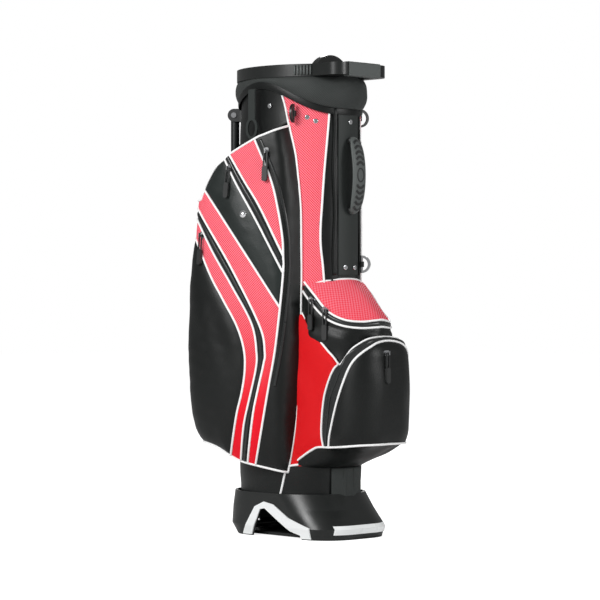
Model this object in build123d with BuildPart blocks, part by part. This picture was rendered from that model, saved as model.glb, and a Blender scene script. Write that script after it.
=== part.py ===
"""Golf stand bag: an oval fabric tube with pockets, a divided top, a rigid base and a leg stand.

Frame: +X is the front (ball pockets and carry grip), -X the leg side, -Y the near side, +Z up.
The origin is on the floor under the axis of the tube. Lengths are millimetres.
"""

import os
from math import cos, radians, sin

from build123d import *

os.makedirs("parts", exist_ok=True)

# Driving dimensions of the whole bag
BAG_HEIGHT = 876.0
TUBE_A = 125.0  # half length of the oval tube along X
TUBE_B = 95.0  # half width of the oval tube along Y
WALL = 3.0
TUBE_LOW = 80.0
TUBE_TOP = 833.0
GAP = 0.4  # clearance between a soft piece and the wall behind it
SEAM_N = 30.0  # oval angle of the seam at the front edge of the mesh panel
SEAM_M = 57.0  # oval angle of the seam at the rear edge of the mesh panel
SEAM_L = 130.0  # oval angle of the seam of the leg-side panel

# Base
BASE_SOLE = (-108.0, 158.0, 180.0)  # rear X, front X and width at the floor
BASE_LIP = (-121.0, 163.0, 190.0)
BASE_WAIST = (-126.0, 142.0, 191.0)
BASE_LEVELS = (0.0, 20.0, 52.0, TUBE_LOW)
BASE_WALL = 4.0
FLOOR_PLATE = (60.0, 64.0)
FRONT_SOLE_X = 97.0
KEEL_HALF = 10.0
KEEL_TOP = 6.0

# Leg stand
LEG_PIVOT = Vector(-140.0, -32.0, 776.0)
LEG_SPLAY = 35.0  # degrees that each leg's plane is turned from the bag's own plane
LEG_RADIUS = 6.0
LEG_LENGTH = 600.0
HUB_RADIUS = 11.0
PIN_RADIUS = 3.0
RUNNING = 0.05  # radial clearance of a pin in its bore
LINK_DROP = 60.0  # from the leg's pivot down to the link's pin
LINK_LENGTH = 70.0
LINK_OFFSET = 11.5  # from the leg's middle plane to the link's
EYE_RADIUS = 5.8  # open eye of the link round the leg's pin
LINK_PIN = 2.5
ROD_X = -132.0
ROD_RADIUS = 3.0
PLATE_PIVOT = (-97.0, 13.0)  # X and Z of the foot plate's hinge
BARREL_HALF = 44.0
PIN_HALF = 58.0

# Top
RING_A = 132.0
RING_B = 100.0
RING_LOW = TUBE_TOP
RING_TOP = 855.0
RIM_A = 117.0
RIM_B = 85.0
DIVIDER_LOW = 822.0
DIVIDER_TOP = 848.0
DIVIDER_BAR = 7.0
HANDLE_X = 164.0

# Pockets
POCKET_LOW = 126.0
LID_CENTRE = 75.0
LID_A = 130.0
LID_B = 78.0
LID_TOP = 462.0
POCKET_BACK = 75.0  # X where the front pockets' sides end on the tube
BALL_CENTRE = 100.0
BALL_SIZE = (256.0, 160.0)
BALL_TOP = 363.0
BALL_ROUND = 22.0


def save(piece, name):
    """Labels a finished piece and writes its STEP file."""
    piece.part.label = name
    export_step(piece.part, f"parts/{name}.step")


def mirrored(piece, name):
    """Writes the far side's twin of a near-side piece."""
    twin = mirror(piece.part, about=Plane.XZ)
    twin.label = name
    export_step(twin, f"parts/{name}.step")


def oval(angle, grow=0.0):
    """Point of the tube's oval at an oval angle in degrees, grown outwards by grow."""
    return Vector((TUBE_A + grow) * cos(radians(angle)), (TUBE_B + grow) * sin(radians(angle)))


def oval_normal(angle):
    """Outward normal of the tube's oval at an oval angle in degrees."""
    return Vector(TUBE_B * cos(radians(angle)), TUBE_A * sin(radians(angle))).normalized()


def wedge(start, end):
    """Corner points of a sector of the plan between two oval angles."""
    steps = max(2, round((end - start) / 30))
    rim = [oval(start + (end - start) * i / steps) * 3 for i in range(steps + 1)]
    return [(0, 0)] + [(p.X, p.Y) for p in rim]


def oval_band(start, end, low, high, inner, outer):
    """Part of an oval wall between two oval angles and two growths of the tube's oval."""
    with BuildPart() as band:
        with BuildSketch(Plane.XY.offset(low)):
            Ellipse(TUBE_A + outer, TUBE_B + outer)
            Ellipse(TUBE_A + inner, TUBE_B + inner, mode=Mode.SUBTRACT)
            if end - start < 360:
                Polygon(*wedge(start, end), align=None, mode=Mode.INTERSECT)
        extrude(amount=high - low)
    return band


# ---------------------------------------------------------------- tube of sewn panels
PANELS = {
    "spine_panel": (-SEAM_N, SEAM_N),
    "mesh_panel_near": (-SEAM_M, -SEAM_N),
    "mesh_panel_far": (SEAM_N, SEAM_M),
    "side_panel_near": (-SEAM_L, -SEAM_M),
    "side_panel_far": (SEAM_M, SEAM_L),
    "leg_side_panel": (SEAM_L, 360 - SEAM_L),
}
for panel_name, (panel_start, panel_end) in PANELS.items():
    save(oval_band(panel_start, panel_end, TUBE_LOW, TUBE_TOP, -WALL, 0), panel_name)

STAY_RADIUS = 2.5
STAY_INSET = WALL + STAY_RADIUS + 0.3
with BuildPart() as tube_stays:
    with BuildSketch(Plane.XY.offset(FLOOR_PLATE[1])):
        with Locations(*[oval(angle, -STAY_INSET) for angle in (60, 120, 240, 300)]):
            Circle(STAY_RADIUS)
    extrude(amount=DIVIDER_LOW - FLOOR_PLATE[1])
save(tube_stays, "tube_stays")

# ---------------------------------------------------------------- base


def base_sections(inset):
    """Sketches of the base's outline from the floor up, each drawn in by inset."""
    outlines = (BASE_SOLE, BASE_LIP, BASE_WAIST, (-TUBE_A - 0.5, TUBE_A + 0.5, 2 * TUBE_B + 1))
    radii = (62, 66, 80, 88)
    sections = []
    for level, (rear, front, width), radius in zip(BASE_LEVELS, outlines, radii):
        with BuildSketch(Plane((0.5 * (rear + front), 0, level))) as section:
            RectangleRounded(front - rear - 2 * inset, width - 2 * inset, radius - inset)
        sections.append(section.sketch)
    return sections


with BuildPart() as base_inside:
    loft(base_sections(BASE_WALL), ruled=True)

# Side arch of the base, X and Z, and the outer edge of the trim around it
ARCH_OPENING = ((-34, -1), (-14, 34), (-6, 50), (6, 52), (32, 36), (70, 14), (94, 8), (94, -1))
TRIM_OUTER = ((-56, 2), (-44, 20), (-20, 54), (4, 64), (28, 60), (66, 38), (116, 22), (116, 2))
with BuildPart() as base_inserts:
    with Locations((0, 0, 0.5 * (FLOOR_PLATE[0] + FLOOR_PLATE[1]))):
        Box(400, 400, FLOOR_PLATE[1] - FLOOR_PLATE[0])
    with Locations((FRONT_SOLE_X + 100, 0, 0.5 * BASE_WALL)):
        Box(200, 400, BASE_WALL)
    for side in (-1, 1):
        with Locations((PLATE_PIVOT[0], side * (BARREL_HALF + 13), PLATE_PIVOT[1])):
            Box(14, 25, 11)

with BuildPart() as base_decks:
    loft(base_sections(1), ruled=True)
    add(base_inserts.part, mode=Mode.INTERSECT)

with BuildPart() as base_shell:
    loft(base_sections(0), ruled=True)
    add(base_inside.part, mode=Mode.SUBTRACT)
    add(base_decks.part)
    with BuildSketch(Plane.XZ):
        Polygon(*ARCH_OPENING, align=None)
    extrude(amount=130, both=True, mode=Mode.SUBTRACT)
    with Locations((ROD_X + 12, 0, 27)):
        Box(30, 2 * KEEL_HALF + 2, 40, mode=Mode.SUBTRACT)
    with BuildSketch(Plane((PLATE_PIVOT[0], 0, PLATE_PIVOT[1]), x_dir=(1, 0, 0), z_dir=(0, 1, 0))):
        Circle(PIN_RADIUS)
    extrude(amount=PIN_HALF, both=True, mode=Mode.SUBTRACT)
save(base_shell, "base_shell")

with BuildPart() as base_keel:
    with BuildSketch(Plane((0.5 * (FRONT_SOLE_X - 100), 0, 0))):
        Rectangle(FRONT_SOLE_X + 100, 2 * KEEL_HALF)
    extrude(amount=KEEL_TOP)
save(base_keel, "base_keel")

TRIM = 2.2
with BuildPart() as trim_skin:
    loft(base_sections(-TRIM), ruled=True)
    loft(base_sections(-0.2), ruled=True, mode=Mode.SUBTRACT)
with BuildPart() as side_trims:
    add(trim_skin.part)
    with BuildSketch(Plane.XZ):
        Polygon(*TRIM_OUTER, align=None)
        Polygon(*ARCH_OPENING, align=None, mode=Mode.SUBTRACT)
    extrude(amount=130, both=True, mode=Mode.INTERSECT)
with BuildPart() as lip_trim:
    add(trim_skin.part)
    with Locations((150, 0, 18)):
        Box(60, 130, 16, mode=Mode.INTERSECT)
with BuildPart() as base_trims:
    add(side_trims.part)
    add(lip_trim.part)
save(base_trims, "base_trims")

with BuildPart() as foot_plate_pin:
    with BuildSketch(Plane((PLATE_PIVOT[0], 0, PLATE_PIVOT[1]), x_dir=(1, 0, 0), z_dir=(0, 1, 0))):
        Circle(PIN_RADIUS)
    extrude(amount=PIN_HALF, both=True)
save(foot_plate_pin, "foot_plate_pin")

# One pad of the foot plate, on the +Y side of the keel
PAD = ((-99, 13), (-99, 40), (-64, 68), (82, 72), (90, 62), (90, 13))
with BuildPart() as foot_plate:
    with BuildSketch(Plane.XY.offset(1.2)) as pads:
        Polygon(*PAD, align=None)
        mirror(about=Plane.XZ)
    extrude(amount=5.5)
    for side in (-1, 1):
        with Locations((PLATE_PIVOT[0], side * 0.5 * (13 + BARREL_HALF), 8)):
            Box(8, BARREL_HALF - 13, 10)
    with BuildSketch(Plane((PLATE_PIVOT[0], 0, PLATE_PIVOT[1]), x_dir=(1, 0, 0), z_dir=(0, 1, 0))):
        Circle(5.5)
    extrude(amount=BARREL_HALF, both=True)
    with Locations((0.5 * (PLATE_PIVOT[0] + ROD_X - 1), 0, PLATE_PIVOT[1])):
        Box(PLATE_PIVOT[0] - ROD_X + 1, 14, 8)
    with BuildSketch(Plane((PLATE_PIVOT[0], 0, PLATE_PIVOT[1]), x_dir=(1, 0, 0), z_dir=(0, 1, 0))):
        Circle(PIN_RADIUS + RUNNING)
    extrude(amount=90, both=True, mode=Mode.SUBTRACT)
save(foot_plate, "foot_plate")

# ---------------------------------------------------------------- leg stand
LEG_AXIS = Vector(-sin(radians(LEG_SPLAY)), cos(radians(LEG_SPLAY)), 0)
LEG_OUT = Vector(-cos(radians(LEG_SPLAY)), -sin(radians(LEG_SPLAY)), 0)


def leg_plane(drop=0.0, along=0.0):
    """Plane across the near leg's hinge axis: x outwards, y up, z along the axis."""
    origin = LEG_PIVOT + LEG_AXIS * along - Vector(0, 0, drop)
    return Plane(origin, x_dir=LEG_OUT, z_dir=LEG_AXIS)


def leg_section(drop):
    """Horizontal plane on the near leg's centre line, at a drop below its pivot."""
    return Plane(LEG_PIVOT - Vector(0, 0, drop), x_dir=LEG_OUT, z_dir=(0, 0, 1))


HUB_HALF = 8.2
SLEEVE_END = 76.0
with BuildPart() as leg_hub_near:
    with BuildSketch(leg_plane()):
        Circle(HUB_RADIUS)
    extrude(amount=HUB_HALF, both=True)
    with BuildSketch(leg_section(SLEEVE_END)):
        Circle(LEG_RADIUS + 2)
    extrude(amount=SLEEVE_END - 6)
    with BuildSketch(leg_section(SLEEVE_END)):
        Circle(LEG_RADIUS)
    extrude(amount=SLEEVE_END - 22, mode=Mode.SUBTRACT)
    with BuildSketch(leg_plane(LINK_DROP, LEG_RADIUS + 1)):
        Circle(LINK_PIN)
    extrude(amount=8)
    with BuildSketch(leg_plane()):
        Circle(PIN_RADIUS + RUNNING)
    extrude(amount=20, both=True, mode=Mode.SUBTRACT)

with BuildPart() as leg_tube_near:
    with BuildSketch(leg_section(LEG_LENGTH)):
        Circle(LEG_RADIUS)
        Circle(LEG_RADIUS - 1, mode=Mode.SUBTRACT)
    extrude(amount=LEG_LENGTH - 22)

FOOT_RADIUS = 9.0
with BuildPart() as leg_foot_near:
    with BuildSketch(leg_section(LEG_LENGTH + 18)):
        Circle(FOOT_RADIUS)
    extrude(amount=46)
    fillet(leg_foot_near.edges().filter_by(GeomType.CIRCLE).group_by(Axis.Z)[0], 4)
    with BuildSketch(leg_section(LEG_LENGTH)):
        Circle(LEG_RADIUS)
    extrude(amount=60, mode=Mode.SUBTRACT)

for piece, name in ((leg_hub_near, "leg_hub"), (leg_tube_near, "leg_tube"), (leg_foot_near, "leg_foot")):
    save(piece, f"{name}_near")
    mirrored(piece, f"{name}_far")

CHEEK = 3.5
CHEEK_GAP = HUB_HALF + 0.4
with BuildPart() as leg_bracket_near:
    for inner in (CHEEK_GAP, -CHEEK_GAP - CHEEK):
        with BuildSketch(leg_plane(0, inner)):
            Circle(12)
            with Locations((-14, 0)):
                Rectangle(28, 24)
        extrude(amount=CHEEK)
    with BuildSketch(leg_plane(0, -16)):
        Circle(PIN_RADIUS)
    extrude(amount=32, mode=Mode.SUBTRACT)

BRACKET_LOW = 762.0
BRACKET_TOP = 789.0
bracket_back = oval_band(154, 206, BRACKET_LOW, BRACKET_TOP, GAP, 4)
with BuildPart() as leg_bracket:
    add(bracket_back.part)
    add(leg_bracket_near.part)
    add(mirror(leg_bracket_near.part, about=Plane.XZ))
    with BuildSketch(Plane.XY.offset(BRACKET_LOW - 10)):
        Ellipse(TUBE_A + GAP, TUBE_B + GAP)
    extrude(amount=60, mode=Mode.SUBTRACT)
save(leg_bracket, "leg_bracket")

with BuildPart() as leg_pin_near:
    with BuildSketch(leg_plane(0, -CHEEK_GAP - CHEEK)):
        Circle(PIN_RADIUS)
    extrude(amount=2 * (CHEEK_GAP + CHEEK))
    with BuildSketch(leg_plane(0, -CHEEK_GAP - CHEEK - 2.5)):
        Circle(5)
    extrude(amount=2.5)
with BuildPart() as leg_pivot_pins:
    add(leg_pin_near.part)
    add(mirror(leg_pin_near.part, about=Plane.XZ))
save(leg_pivot_pins, "leg_pivot_pins")

ROD_LOW = 17.6
CROSSHEAD_Z = LEG_PIVOT.Z - LINK_DROP - LINK_LENGTH
with BuildPart() as push_rod:
    with BuildSketch(Plane((ROD_X, 0, ROD_LOW))):
        Circle(ROD_RADIUS)
    extrude(amount=CROSSHEAD_Z + 10 - ROD_LOW)
save(push_rod, "push_rod")

LINK_THICK = 3.0
BOSS_START = LINK_OFFSET + 0.5 * LINK_THICK + 0.4
with BuildPart() as crosshead_near:
    with BuildSketch(leg_plane(LINK_DROP + LINK_LENGTH, BOSS_START)):
        Circle(7)
    extrude(amount=16)
    with BuildSketch(leg_plane(LINK_DROP + LINK_LENGTH, LINK_OFFSET - 0.5 * LINK_THICK - 0.5)):
        Circle(LINK_PIN)
    extrude(amount=8)
with BuildPart() as crosshead:
    with Locations((-142, 0, CROSSHEAD_Z)):
        Box(31, 26, 20)
    add(crosshead_near.part)
    add(mirror(crosshead_near.part, about=Plane.XZ))
    with BuildSketch(Plane((ROD_X, 0, CROSSHEAD_Z - 12))):
        Circle(ROD_RADIUS)
    extrude(amount=22, mode=Mode.SUBTRACT)
save(crosshead, "crosshead")

with BuildPart() as link_near:
    with BuildSketch(leg_plane(LINK_DROP + LINK_LENGTH, LINK_OFFSET - 0.5 * LINK_THICK)):
        Circle(6)
        with Locations((0, LINK_LENGTH)):
            Circle(EYE_RADIUS + 3.5)
        with Locations((0, 0.5 * LINK_LENGTH)):
            Rectangle(8, LINK_LENGTH)
        Circle(LINK_PIN + RUNNING, mode=Mode.SUBTRACT)
        with Locations((0, LINK_LENGTH)):
            Circle(EYE_RADIUS, mode=Mode.SUBTRACT)
    extrude(amount=LINK_THICK)
save(link_near, "link_near")
mirrored(link_near, "link_far")

with BuildPart() as rod_guides:
    for level in (120, 330, 540):
        with Locations((-132.5, 0, level)):
            Box(13.4, 18, 14)
    with BuildSketch(Plane((ROD_X, 0, 100))):
        Circle(ROD_RADIUS + 0.4)
    extrude(amount=480, mode=Mode.SUBTRACT)
save(rod_guides, "rod_guides")

# ---------------------------------------------------------------- top
BAR_HALF = 40.0
BAR_X = (HANDLE_X - 13, HANDLE_X)
with BuildPart() as top_ring:
    with BuildSketch(Plane.XY.offset(RING_LOW)):
        Ellipse(RING_A, RING_B)
        with Locations((118, 0)):
            RectangleRounded(2 * (HANDLE_X - 118), 136, 24)
        with Locations((138.5, 0)):
            RectangleRounded(25, 100, 8, mode=Mode.SUBTRACT)
        Ellipse(RIM_A, RIM_B, mode=Mode.SUBTRACT)
    extrude(amount=RING_TOP - RING_LOW)
save(top_ring, "top_ring")

with BuildPart() as front_grip:
    with Locations((0.5 * (BAR_X[0] + BAR_X[1]), 0, 0.5 * (RING_LOW + RING_TOP))):
        Box(17, 2 * BAR_HALF, 26)
        fillet(front_grip.edges().filter_by(Axis.Y), 4)
        Box(13, 2 * BAR_HALF, 22, mode=Mode.SUBTRACT)
save(front_grip, "front_grip")

CREST_X = 75.0
RIM_WALL = 6.0
with BuildPart() as divider_rim:
    with BuildSketch(Plane.XY.offset(TUBE_TOP)):
        Ellipse(RIM_A, RIM_B)
        Ellipse(RIM_A - RIM_WALL, RIM_B - RIM_WALL, mode=Mode.SUBTRACT)
    extrude(amount=DIVIDER_TOP - TUBE_TOP)
    with BuildSketch(Plane.XY.offset(DIVIDER_LOW)):
        Ellipse(RIM_A, RIM_B)
        Ellipse(RIM_A - RIM_WALL, RIM_B - RIM_WALL, mode=Mode.SUBTRACT)
    extrude(amount=TUBE_TOP - DIVIDER_LOW)
save(divider_rim, "divider_rim")

with BuildPart() as club_divider:
    with BuildSketch(Plane.XY.offset(DIVIDER_LOW)):
        for bar_x in (-40, 36, CREST_X):
            with Locations((bar_x, 0)):
                Rectangle(DIVIDER_BAR, 200)
        with Locations((-40, 0)):
            Rectangle(152, DIVIDER_BAR)
        Ellipse(RIM_A - RIM_WALL, RIM_B - RIM_WALL, mode=Mode.INTERSECT)
    extrude(amount=DIVIDER_TOP - DIVIDER_LOW)
    with BuildSketch(Plane((CREST_X - 7, 0, 0), x_dir=(0, 1, 0), z_dir=(1, 0, 0))):
        with BuildLine():
            ThreePointArc((-47, DIVIDER_TOP - 6), (0, BAG_HEIGHT), (47, DIVIDER_TOP - 6))
            Line((47, DIVIDER_TOP - 6), (-47, DIVIDER_TOP - 6))
        make_face()
    extrude(amount=14)
save(club_divider, "club_divider")

CUFF_LOW = 792.0
CUFF_GROW = 10.0
save(oval_band(0, 360, CUFF_LOW, TUBE_TOP - 1, GAP, CUFF_GROW), "collar_cuff")

# ---------------------------------------------------------------- front strap and carry grip
STRAP_LOW = 475.0
STRAP_TOP = 788.0
STRAP_THICK = 2.5
save(oval_band(-15, 15, STRAP_LOW, STRAP_TOP, GAP, GAP + STRAP_THICK), "spine_strap")

GRIP_LOW = 585.0
GRIP_TOP = 725.0
GRIP_HALF = 15.0
STRAP_FACE = TUBE_A + GAP + STRAP_THICK
GRIP_BACK = STRAP_FACE + 0.2
with BuildPart() as carry_grip:
    with BuildSketch(Plane.XZ):
        Polygon(
            (GRIP_BACK, GRIP_LOW), (GRIP_BACK, GRIP_LOW + 18), (144, GRIP_LOW + 36), (144, GRIP_TOP - 36),
            (GRIP_BACK, GRIP_TOP - 18), (GRIP_BACK, GRIP_TOP), (146, GRIP_TOP - 8), (153, GRIP_TOP - 26),
            (154.5, 655), (153, GRIP_LOW + 26), (146, GRIP_LOW + 8), align=None)
    extrude(amount=GRIP_HALF, both=True)
save(carry_grip, "carry_grip")

# ---------------------------------------------------------------- apparel pocket
# Outer outline of the near pocket at its fullest, from the mesh panel round to the leg side
POCKET_OUTLINE = (
    (66, -112), (35, -132), (0, -147), (-45, -160), (-90, -166), (-121, -158), (-140, -132), (-143, -95),
)
# Feet of that outline on the tube, in the same order, as oval angles
POCKET_FEET = (-57, -68, -84, -102, -118, -130, -140, -150)
POCKET_FRONT = (70, -70)
POCKET_REAR = (-100, -40)
# Height and fullness of the near pocket
POCKET_LEVELS = (
    (126, 0.30), (150, 0.56), (185, 0.80), (240, 0.94), (350, 1.0), (480, 0.97), (600, 0.90), (690, 0.80), (760, 0.66),
)


def fullness(height):
    """Fullness of the pocket at a height, in straight steps between the levels."""
    for (low, a), (high, b) in zip(POCKET_LEVELS, POCKET_LEVELS[1:]):
        if height <= high:
            return a + (b - a) * (height - low) / (high - low)
    return POCKET_LEVELS[-1][1]


def pocket_points(height):
    """Outline points of the near pocket at a height."""
    full = fullness(height)
    points = []
    for (x, y), angle in zip(POCKET_OUTLINE, POCKET_FEET):
        foot = oval(angle)
        points.append(Vector(foot.X + full * (x - foot.X), foot.Y + full * (y - foot.Y), height))
    return points


with BuildPart() as pocket_blank:
    for level, _ in POCKET_LEVELS:
        with BuildSketch(Plane.XY.offset(level)):
            with BuildLine():
                outline = [(p.X, p.Y) for p in pocket_points(level)]
                Spline(*outline)
                Polyline(outline[-1], POCKET_REAR, (-60, -40), (60, -50), POCKET_FRONT, outline[0])
            make_face()
    loft(ruled=True)
    with BuildSketch(Plane.XY.offset(100)):
        Ellipse(TUBE_A + GAP, TUBE_B + GAP)
    extrude(amount=700, mode=Mode.SUBTRACT)

TOP_EDGE = Plane((-22, -9, 741), x_dir=(1, -1, 0), z_dir=(-0.37, -0.37, 1))
CORNER_EDGE = Plane((-96, -96, 682), x_dir=(1, -1, 0), z_dir=(-1.1, -1.1, 1))
with BuildPart() as apparel_pocket_near:
    add(pocket_blank.part)
    split(bisect_by=TOP_EDGE, keep=Keep.BOTTOM)
    split(bisect_by=CORNER_EDGE, keep=Keep.BOTTOM)
save(apparel_pocket_near, "apparel_pocket_near")

# The far pocket is the near one's twin, but flatter at its front: nothing of it passes X + Y = 150
FAR_LIMIT = 75.0
with BuildPart() as apparel_pocket_far:
    add(mirror(apparel_pocket_near.part, about=Plane.XZ))
    split(bisect_by=Plane((FAR_LIMIT, FAR_LIMIT, 0), x_dir=(0, 0, 1), z_dir=(-1, -1, 0)), keep=Keep.TOP)
save(apparel_pocket_far, "apparel_pocket_far")

# ---------------------------------------------------------------- ball pocket and lidded pocket
# The ball pocket's side walls dip to a V, (X, Z), where the lidded pocket's wall stands further in
NOTCH = ((60, 430), (82, 405), (98, 385), (118, 364), (143, 341), (170, 317), (181, 328), (200, 345), (214, 372),
         (214, 430))
NOTCH_HALF = 62
with BuildPart() as side_notches:
    with BuildSketch(Plane.XZ):
        Polygon(*NOTCH, align=None)
    extrude(amount=100, both=True)
    with Locations((140, 0, 380)):
        Box(200, 2 * NOTCH_HALF, 160, mode=Mode.SUBTRACT)

with BuildPart() as ball_pocket:
    with BuildSketch(Plane((BALL_CENTRE, 0, 126))):
        RectangleRounded(BALL_SIZE[0], BALL_SIZE[1], 60)
    extrude(amount=BALL_TOP - 126)
    fillet(ball_pocket.faces().sort_by(Axis.Z)[-1].edges(), BALL_ROUND)
    split(bisect_by=Plane((TUBE_A, 0, 128), x_dir=(0, 1, 0), z_dir=(-0.47, 0, 1)), keep=Keep.TOP)
    with BuildSketch(Plane.XY.offset(100)):
        Ellipse(TUBE_A + GAP, TUBE_B + GAP)
    extrude(amount=400, mode=Mode.SUBTRACT)
    with Locations((POCKET_BACK - 140, 0, 250)):
        Box(280, 300, 400, mode=Mode.SUBTRACT)
    add(side_notches.part, mode=Mode.SUBTRACT)
save(ball_pocket, "ball_pocket")

with BuildPart() as lid_pocket:
    with BuildSketch(Plane((LID_CENTRE, 0, 330))):
        Ellipse(LID_A, LID_B)
    extrude(amount=150)
    split(bisect_by=Plane((TUBE_A, 0, LID_TOP), x_dir=(0, 1, 0), z_dir=(0.85, 0, 1)), keep=Keep.BOTTOM)
    add(ball_pocket.part, mode=Mode.SUBTRACT)
    with BuildSketch(Plane.XY.offset(300)):
        Ellipse(TUBE_A + GAP, TUBE_B + GAP)
    extrude(amount=300, mode=Mode.SUBTRACT)
    with Locations((POCKET_BACK - 140, 0, 400)):
        Box(280, 300, 400, mode=Mode.SUBTRACT)
save(lid_pocket, "lid_pocket")

# ---------------------------------------------------------------- rings, towel loop, rivets
RING_WIRE = 2.2


def ring_planes(place, outward):
    """Planes of a D-ring with a vertical bar: across its flat side, and level."""
    return Plane(place, x_dir=outward, z_dir=outward.cross(Vector(0, 0, 1))), Plane(place)


def d_ring(place, outward, half):
    """D-ring whose straight bar stands on place and whose bow points outward."""
    flat, level = ring_planes(place, outward)
    with BuildPart() as ring:
        with BuildSketch(flat):
            with Locations((0.4, 0)):
                Circle(half)
                Circle(half - 2 * RING_WIRE, mode=Mode.SUBTRACT)
            with Locations((-half, 0)):
                Rectangle(2 * half, 4 * half, mode=Mode.SUBTRACT)
        extrude(amount=RING_WIRE, both=True)
        with BuildSketch(level.offset(-half)):
            Circle(RING_WIRE)
        extrude(amount=2 * half)
    return ring


def ring_tab(place, outward, reach):
    """Tab that holds a D-ring's bar, with running room, and reaches back to the bag's wall."""
    with BuildPart() as tab:
        with BuildSketch(Plane(place - Vector(0, 0, 5), x_dir=outward)):
            Circle(RING_WIRE + 2)
            with Locations((-0.5 * reach, 0)):
                Rectangle(reach, 7)
            Circle(RING_WIRE + 0.4, mode=Mode.SUBTRACT)
        extrude(amount=10)
    return tab


UPPER_ANGLE = -58.0
UPPER_PLACE = oval(UPPER_ANGLE, 7) + Vector(0, 0, 766)
UPPER_OUT = oval_normal(UPPER_ANGLE)
LOWER_ANGLE = 20.0
LOWER_PLACE = oval(LOWER_ANGLE, 7) + Vector(0, 0, 495)
LOWER_OUT = oval_normal(LOWER_ANGLE)
upper_ring = d_ring(UPPER_PLACE, UPPER_OUT, 17)
save(upper_ring, "d_ring_near")
mirrored(upper_ring, "d_ring_far")
save(d_ring(LOWER_PLACE, LOWER_OUT, 16), "lower_d_ring")
upper_tab = ring_tab(UPPER_PLACE, UPPER_OUT, 6)
lower_tab = ring_tab(LOWER_PLACE, LOWER_OUT, 6)
with BuildPart() as d_ring_tabs:
    add(upper_tab.part)
    add(mirror(upper_tab.part, about=Plane.XZ))
    add(lower_tab.part)
save(d_ring_tabs, "d_ring_tabs")

TOWEL_X = -15.0
TOWEL_TOP = 812.0
TOWEL_Y = -TUBE_B - CUFF_GROW - 2.0
with BuildPart() as towel_loop:
    with BuildSketch(Plane((TOWEL_X, TOWEL_Y, TOWEL_TOP), x_dir=(1, 0, 0), z_dir=(0, -1, 0))):
        with Locations((0, -26.5)):
            Rectangle(17, 53)
        with Locations((0, -70)):
            Ellipse(15, 20)
            Ellipse(9.5, 14.5, mode=Mode.SUBTRACT)
    extrude(amount=3)
    with Locations((TOWEL_X, TOWEL_Y, TOWEL_TOP)):
        Cylinder(1.7, 17, rotation=(0, 90, 0))
save(towel_loop, "towel_loop")


def rivet(place, outward, radius=4.5, tall=2.0):
    """Domed rivet head standing on a surface point."""
    with BuildPart() as head:
        with BuildSketch(Plane(place, z_dir=outward)):
            Circle(radius)
        extrude(amount=tall)
        outer_face = head.faces().sort_by(lambda f: (f.center() - place).dot(outward))[-1]
        fillet(outer_face.edges(), 0.45 * tall)
    return head.part


def on_tube(angle, height, grow=0.3):
    """Point on the tube at an oval angle and a height."""
    return oval(angle, grow) + Vector(0, 0, height)


RIVET_SPOTS = (
    (on_tube(0, 752, GAP + STRAP_THICK + 0.3), oval_normal(0)),
    (on_tube(-7, 489, GAP + STRAP_THICK + 0.3), oval_normal(-7)),
    (on_tube(7, 489, GAP + STRAP_THICK + 0.3), oval_normal(7)),
    (on_tube(-46, 759), oval_normal(-46)),
    (on_tube(-38, 752), oval_normal(-38)),
    (on_tube(46, 759), oval_normal(46)),
    (on_tube(-82, 782, 0.3), oval_normal(-82)),
)
with BuildPart() as rivets:
    for spot, facing in RIVET_SPOTS:
        add(rivet(spot, facing))
save(rivets, "rivets")

# ---------------------------------------------------------------- zips
PULL_HEIGHT = 8.6  # of the pull's hinge over the pocket's surface
SLIDER_CLEAR = 0.8
PULL_LENGTH = 54.0


def zip_pair(name, top, hang, outward, zip_way):
    """Slider and hanging pull: top is on the surface, hang and zip_way are directions."""
    hang = (hang - outward * hang.dot(outward)).normalized()
    along = (zip_way - outward * zip_way.dot(outward)).normalized()
    side = outward.cross(hang)
    body_plane = Plane(top + outward * SLIDER_CLEAR, x_dir=along, z_dir=outward)
    pull_plane = Plane(top + outward * PULL_HEIGHT, x_dir=hang, z_dir=outward)
    bail_plane = Plane(top + outward * PULL_HEIGHT - side, x_dir=hang, z_dir=side)
    pin_plane = Plane(top + outward * PULL_HEIGHT - side * 3.2, x_dir=hang, z_dir=side)
    with BuildPart() as slider:
        with BuildSketch(body_plane):
            RectangleRounded(14, 9, 3)
        extrude(amount=4.6)
        with BuildSketch(bail_plane):
            with BuildLine():
                Polyline((-3.6, -4.4), (3.6, -4.4), (3.6, 2.2), (2.0, 3.6), (-2.0, 3.6), (-3.6, 2.2), close=True)
            make_face()
            Circle(1.7, mode=Mode.SUBTRACT)
        extrude(amount=2)
    with BuildPart() as pull:
        with BuildSketch(pin_plane):
            Circle(1.2)
        extrude(amount=6.4)
        for offset in (-3.2, 3.2):
            with BuildSketch(Plane(top + outward * PULL_HEIGHT + side * (offset - 1), x_dir=hang, z_dir=side)):
                with Locations((13, 0)):
                    RectangleRounded(28.4, 2.4, 1.15)
            extrude(amount=2)
        with BuildSketch(pull_plane.offset(-2.6)):
            with Locations((0.5 * (26 + PULL_LENGTH), 0)):
                RectangleRounded(PULL_LENGTH - 26, 9.5, 4)
        extrude(amount=5.2)
    save(slider, f"slider_{name}")
    save(pull, f"pull_{name}")
    axis = hang.cross(outward)
    pivot = top + outward * PULL_HEIGHT
    print(name, "pivot", [round(v, 3) for v in pivot], "axis", [round(v, 4) for v in axis],
          "way", [round(v, 4) for v in along])
    return slider, pull


def pocket_point(share, height):
    """Point and outward normal of the near pocket's outline at a share of its length."""
    curve = Edge.make_spline(pocket_points(height))
    way = curve.tangent_at(share)
    return curve.position_at(share), Vector(way.Y, -way.X, 0).normalized() * -1


def flip(vector):
    """Mirror image of a vector on the far side."""
    return Vector(vector.X, -vector.Y, vector.Z)


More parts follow.
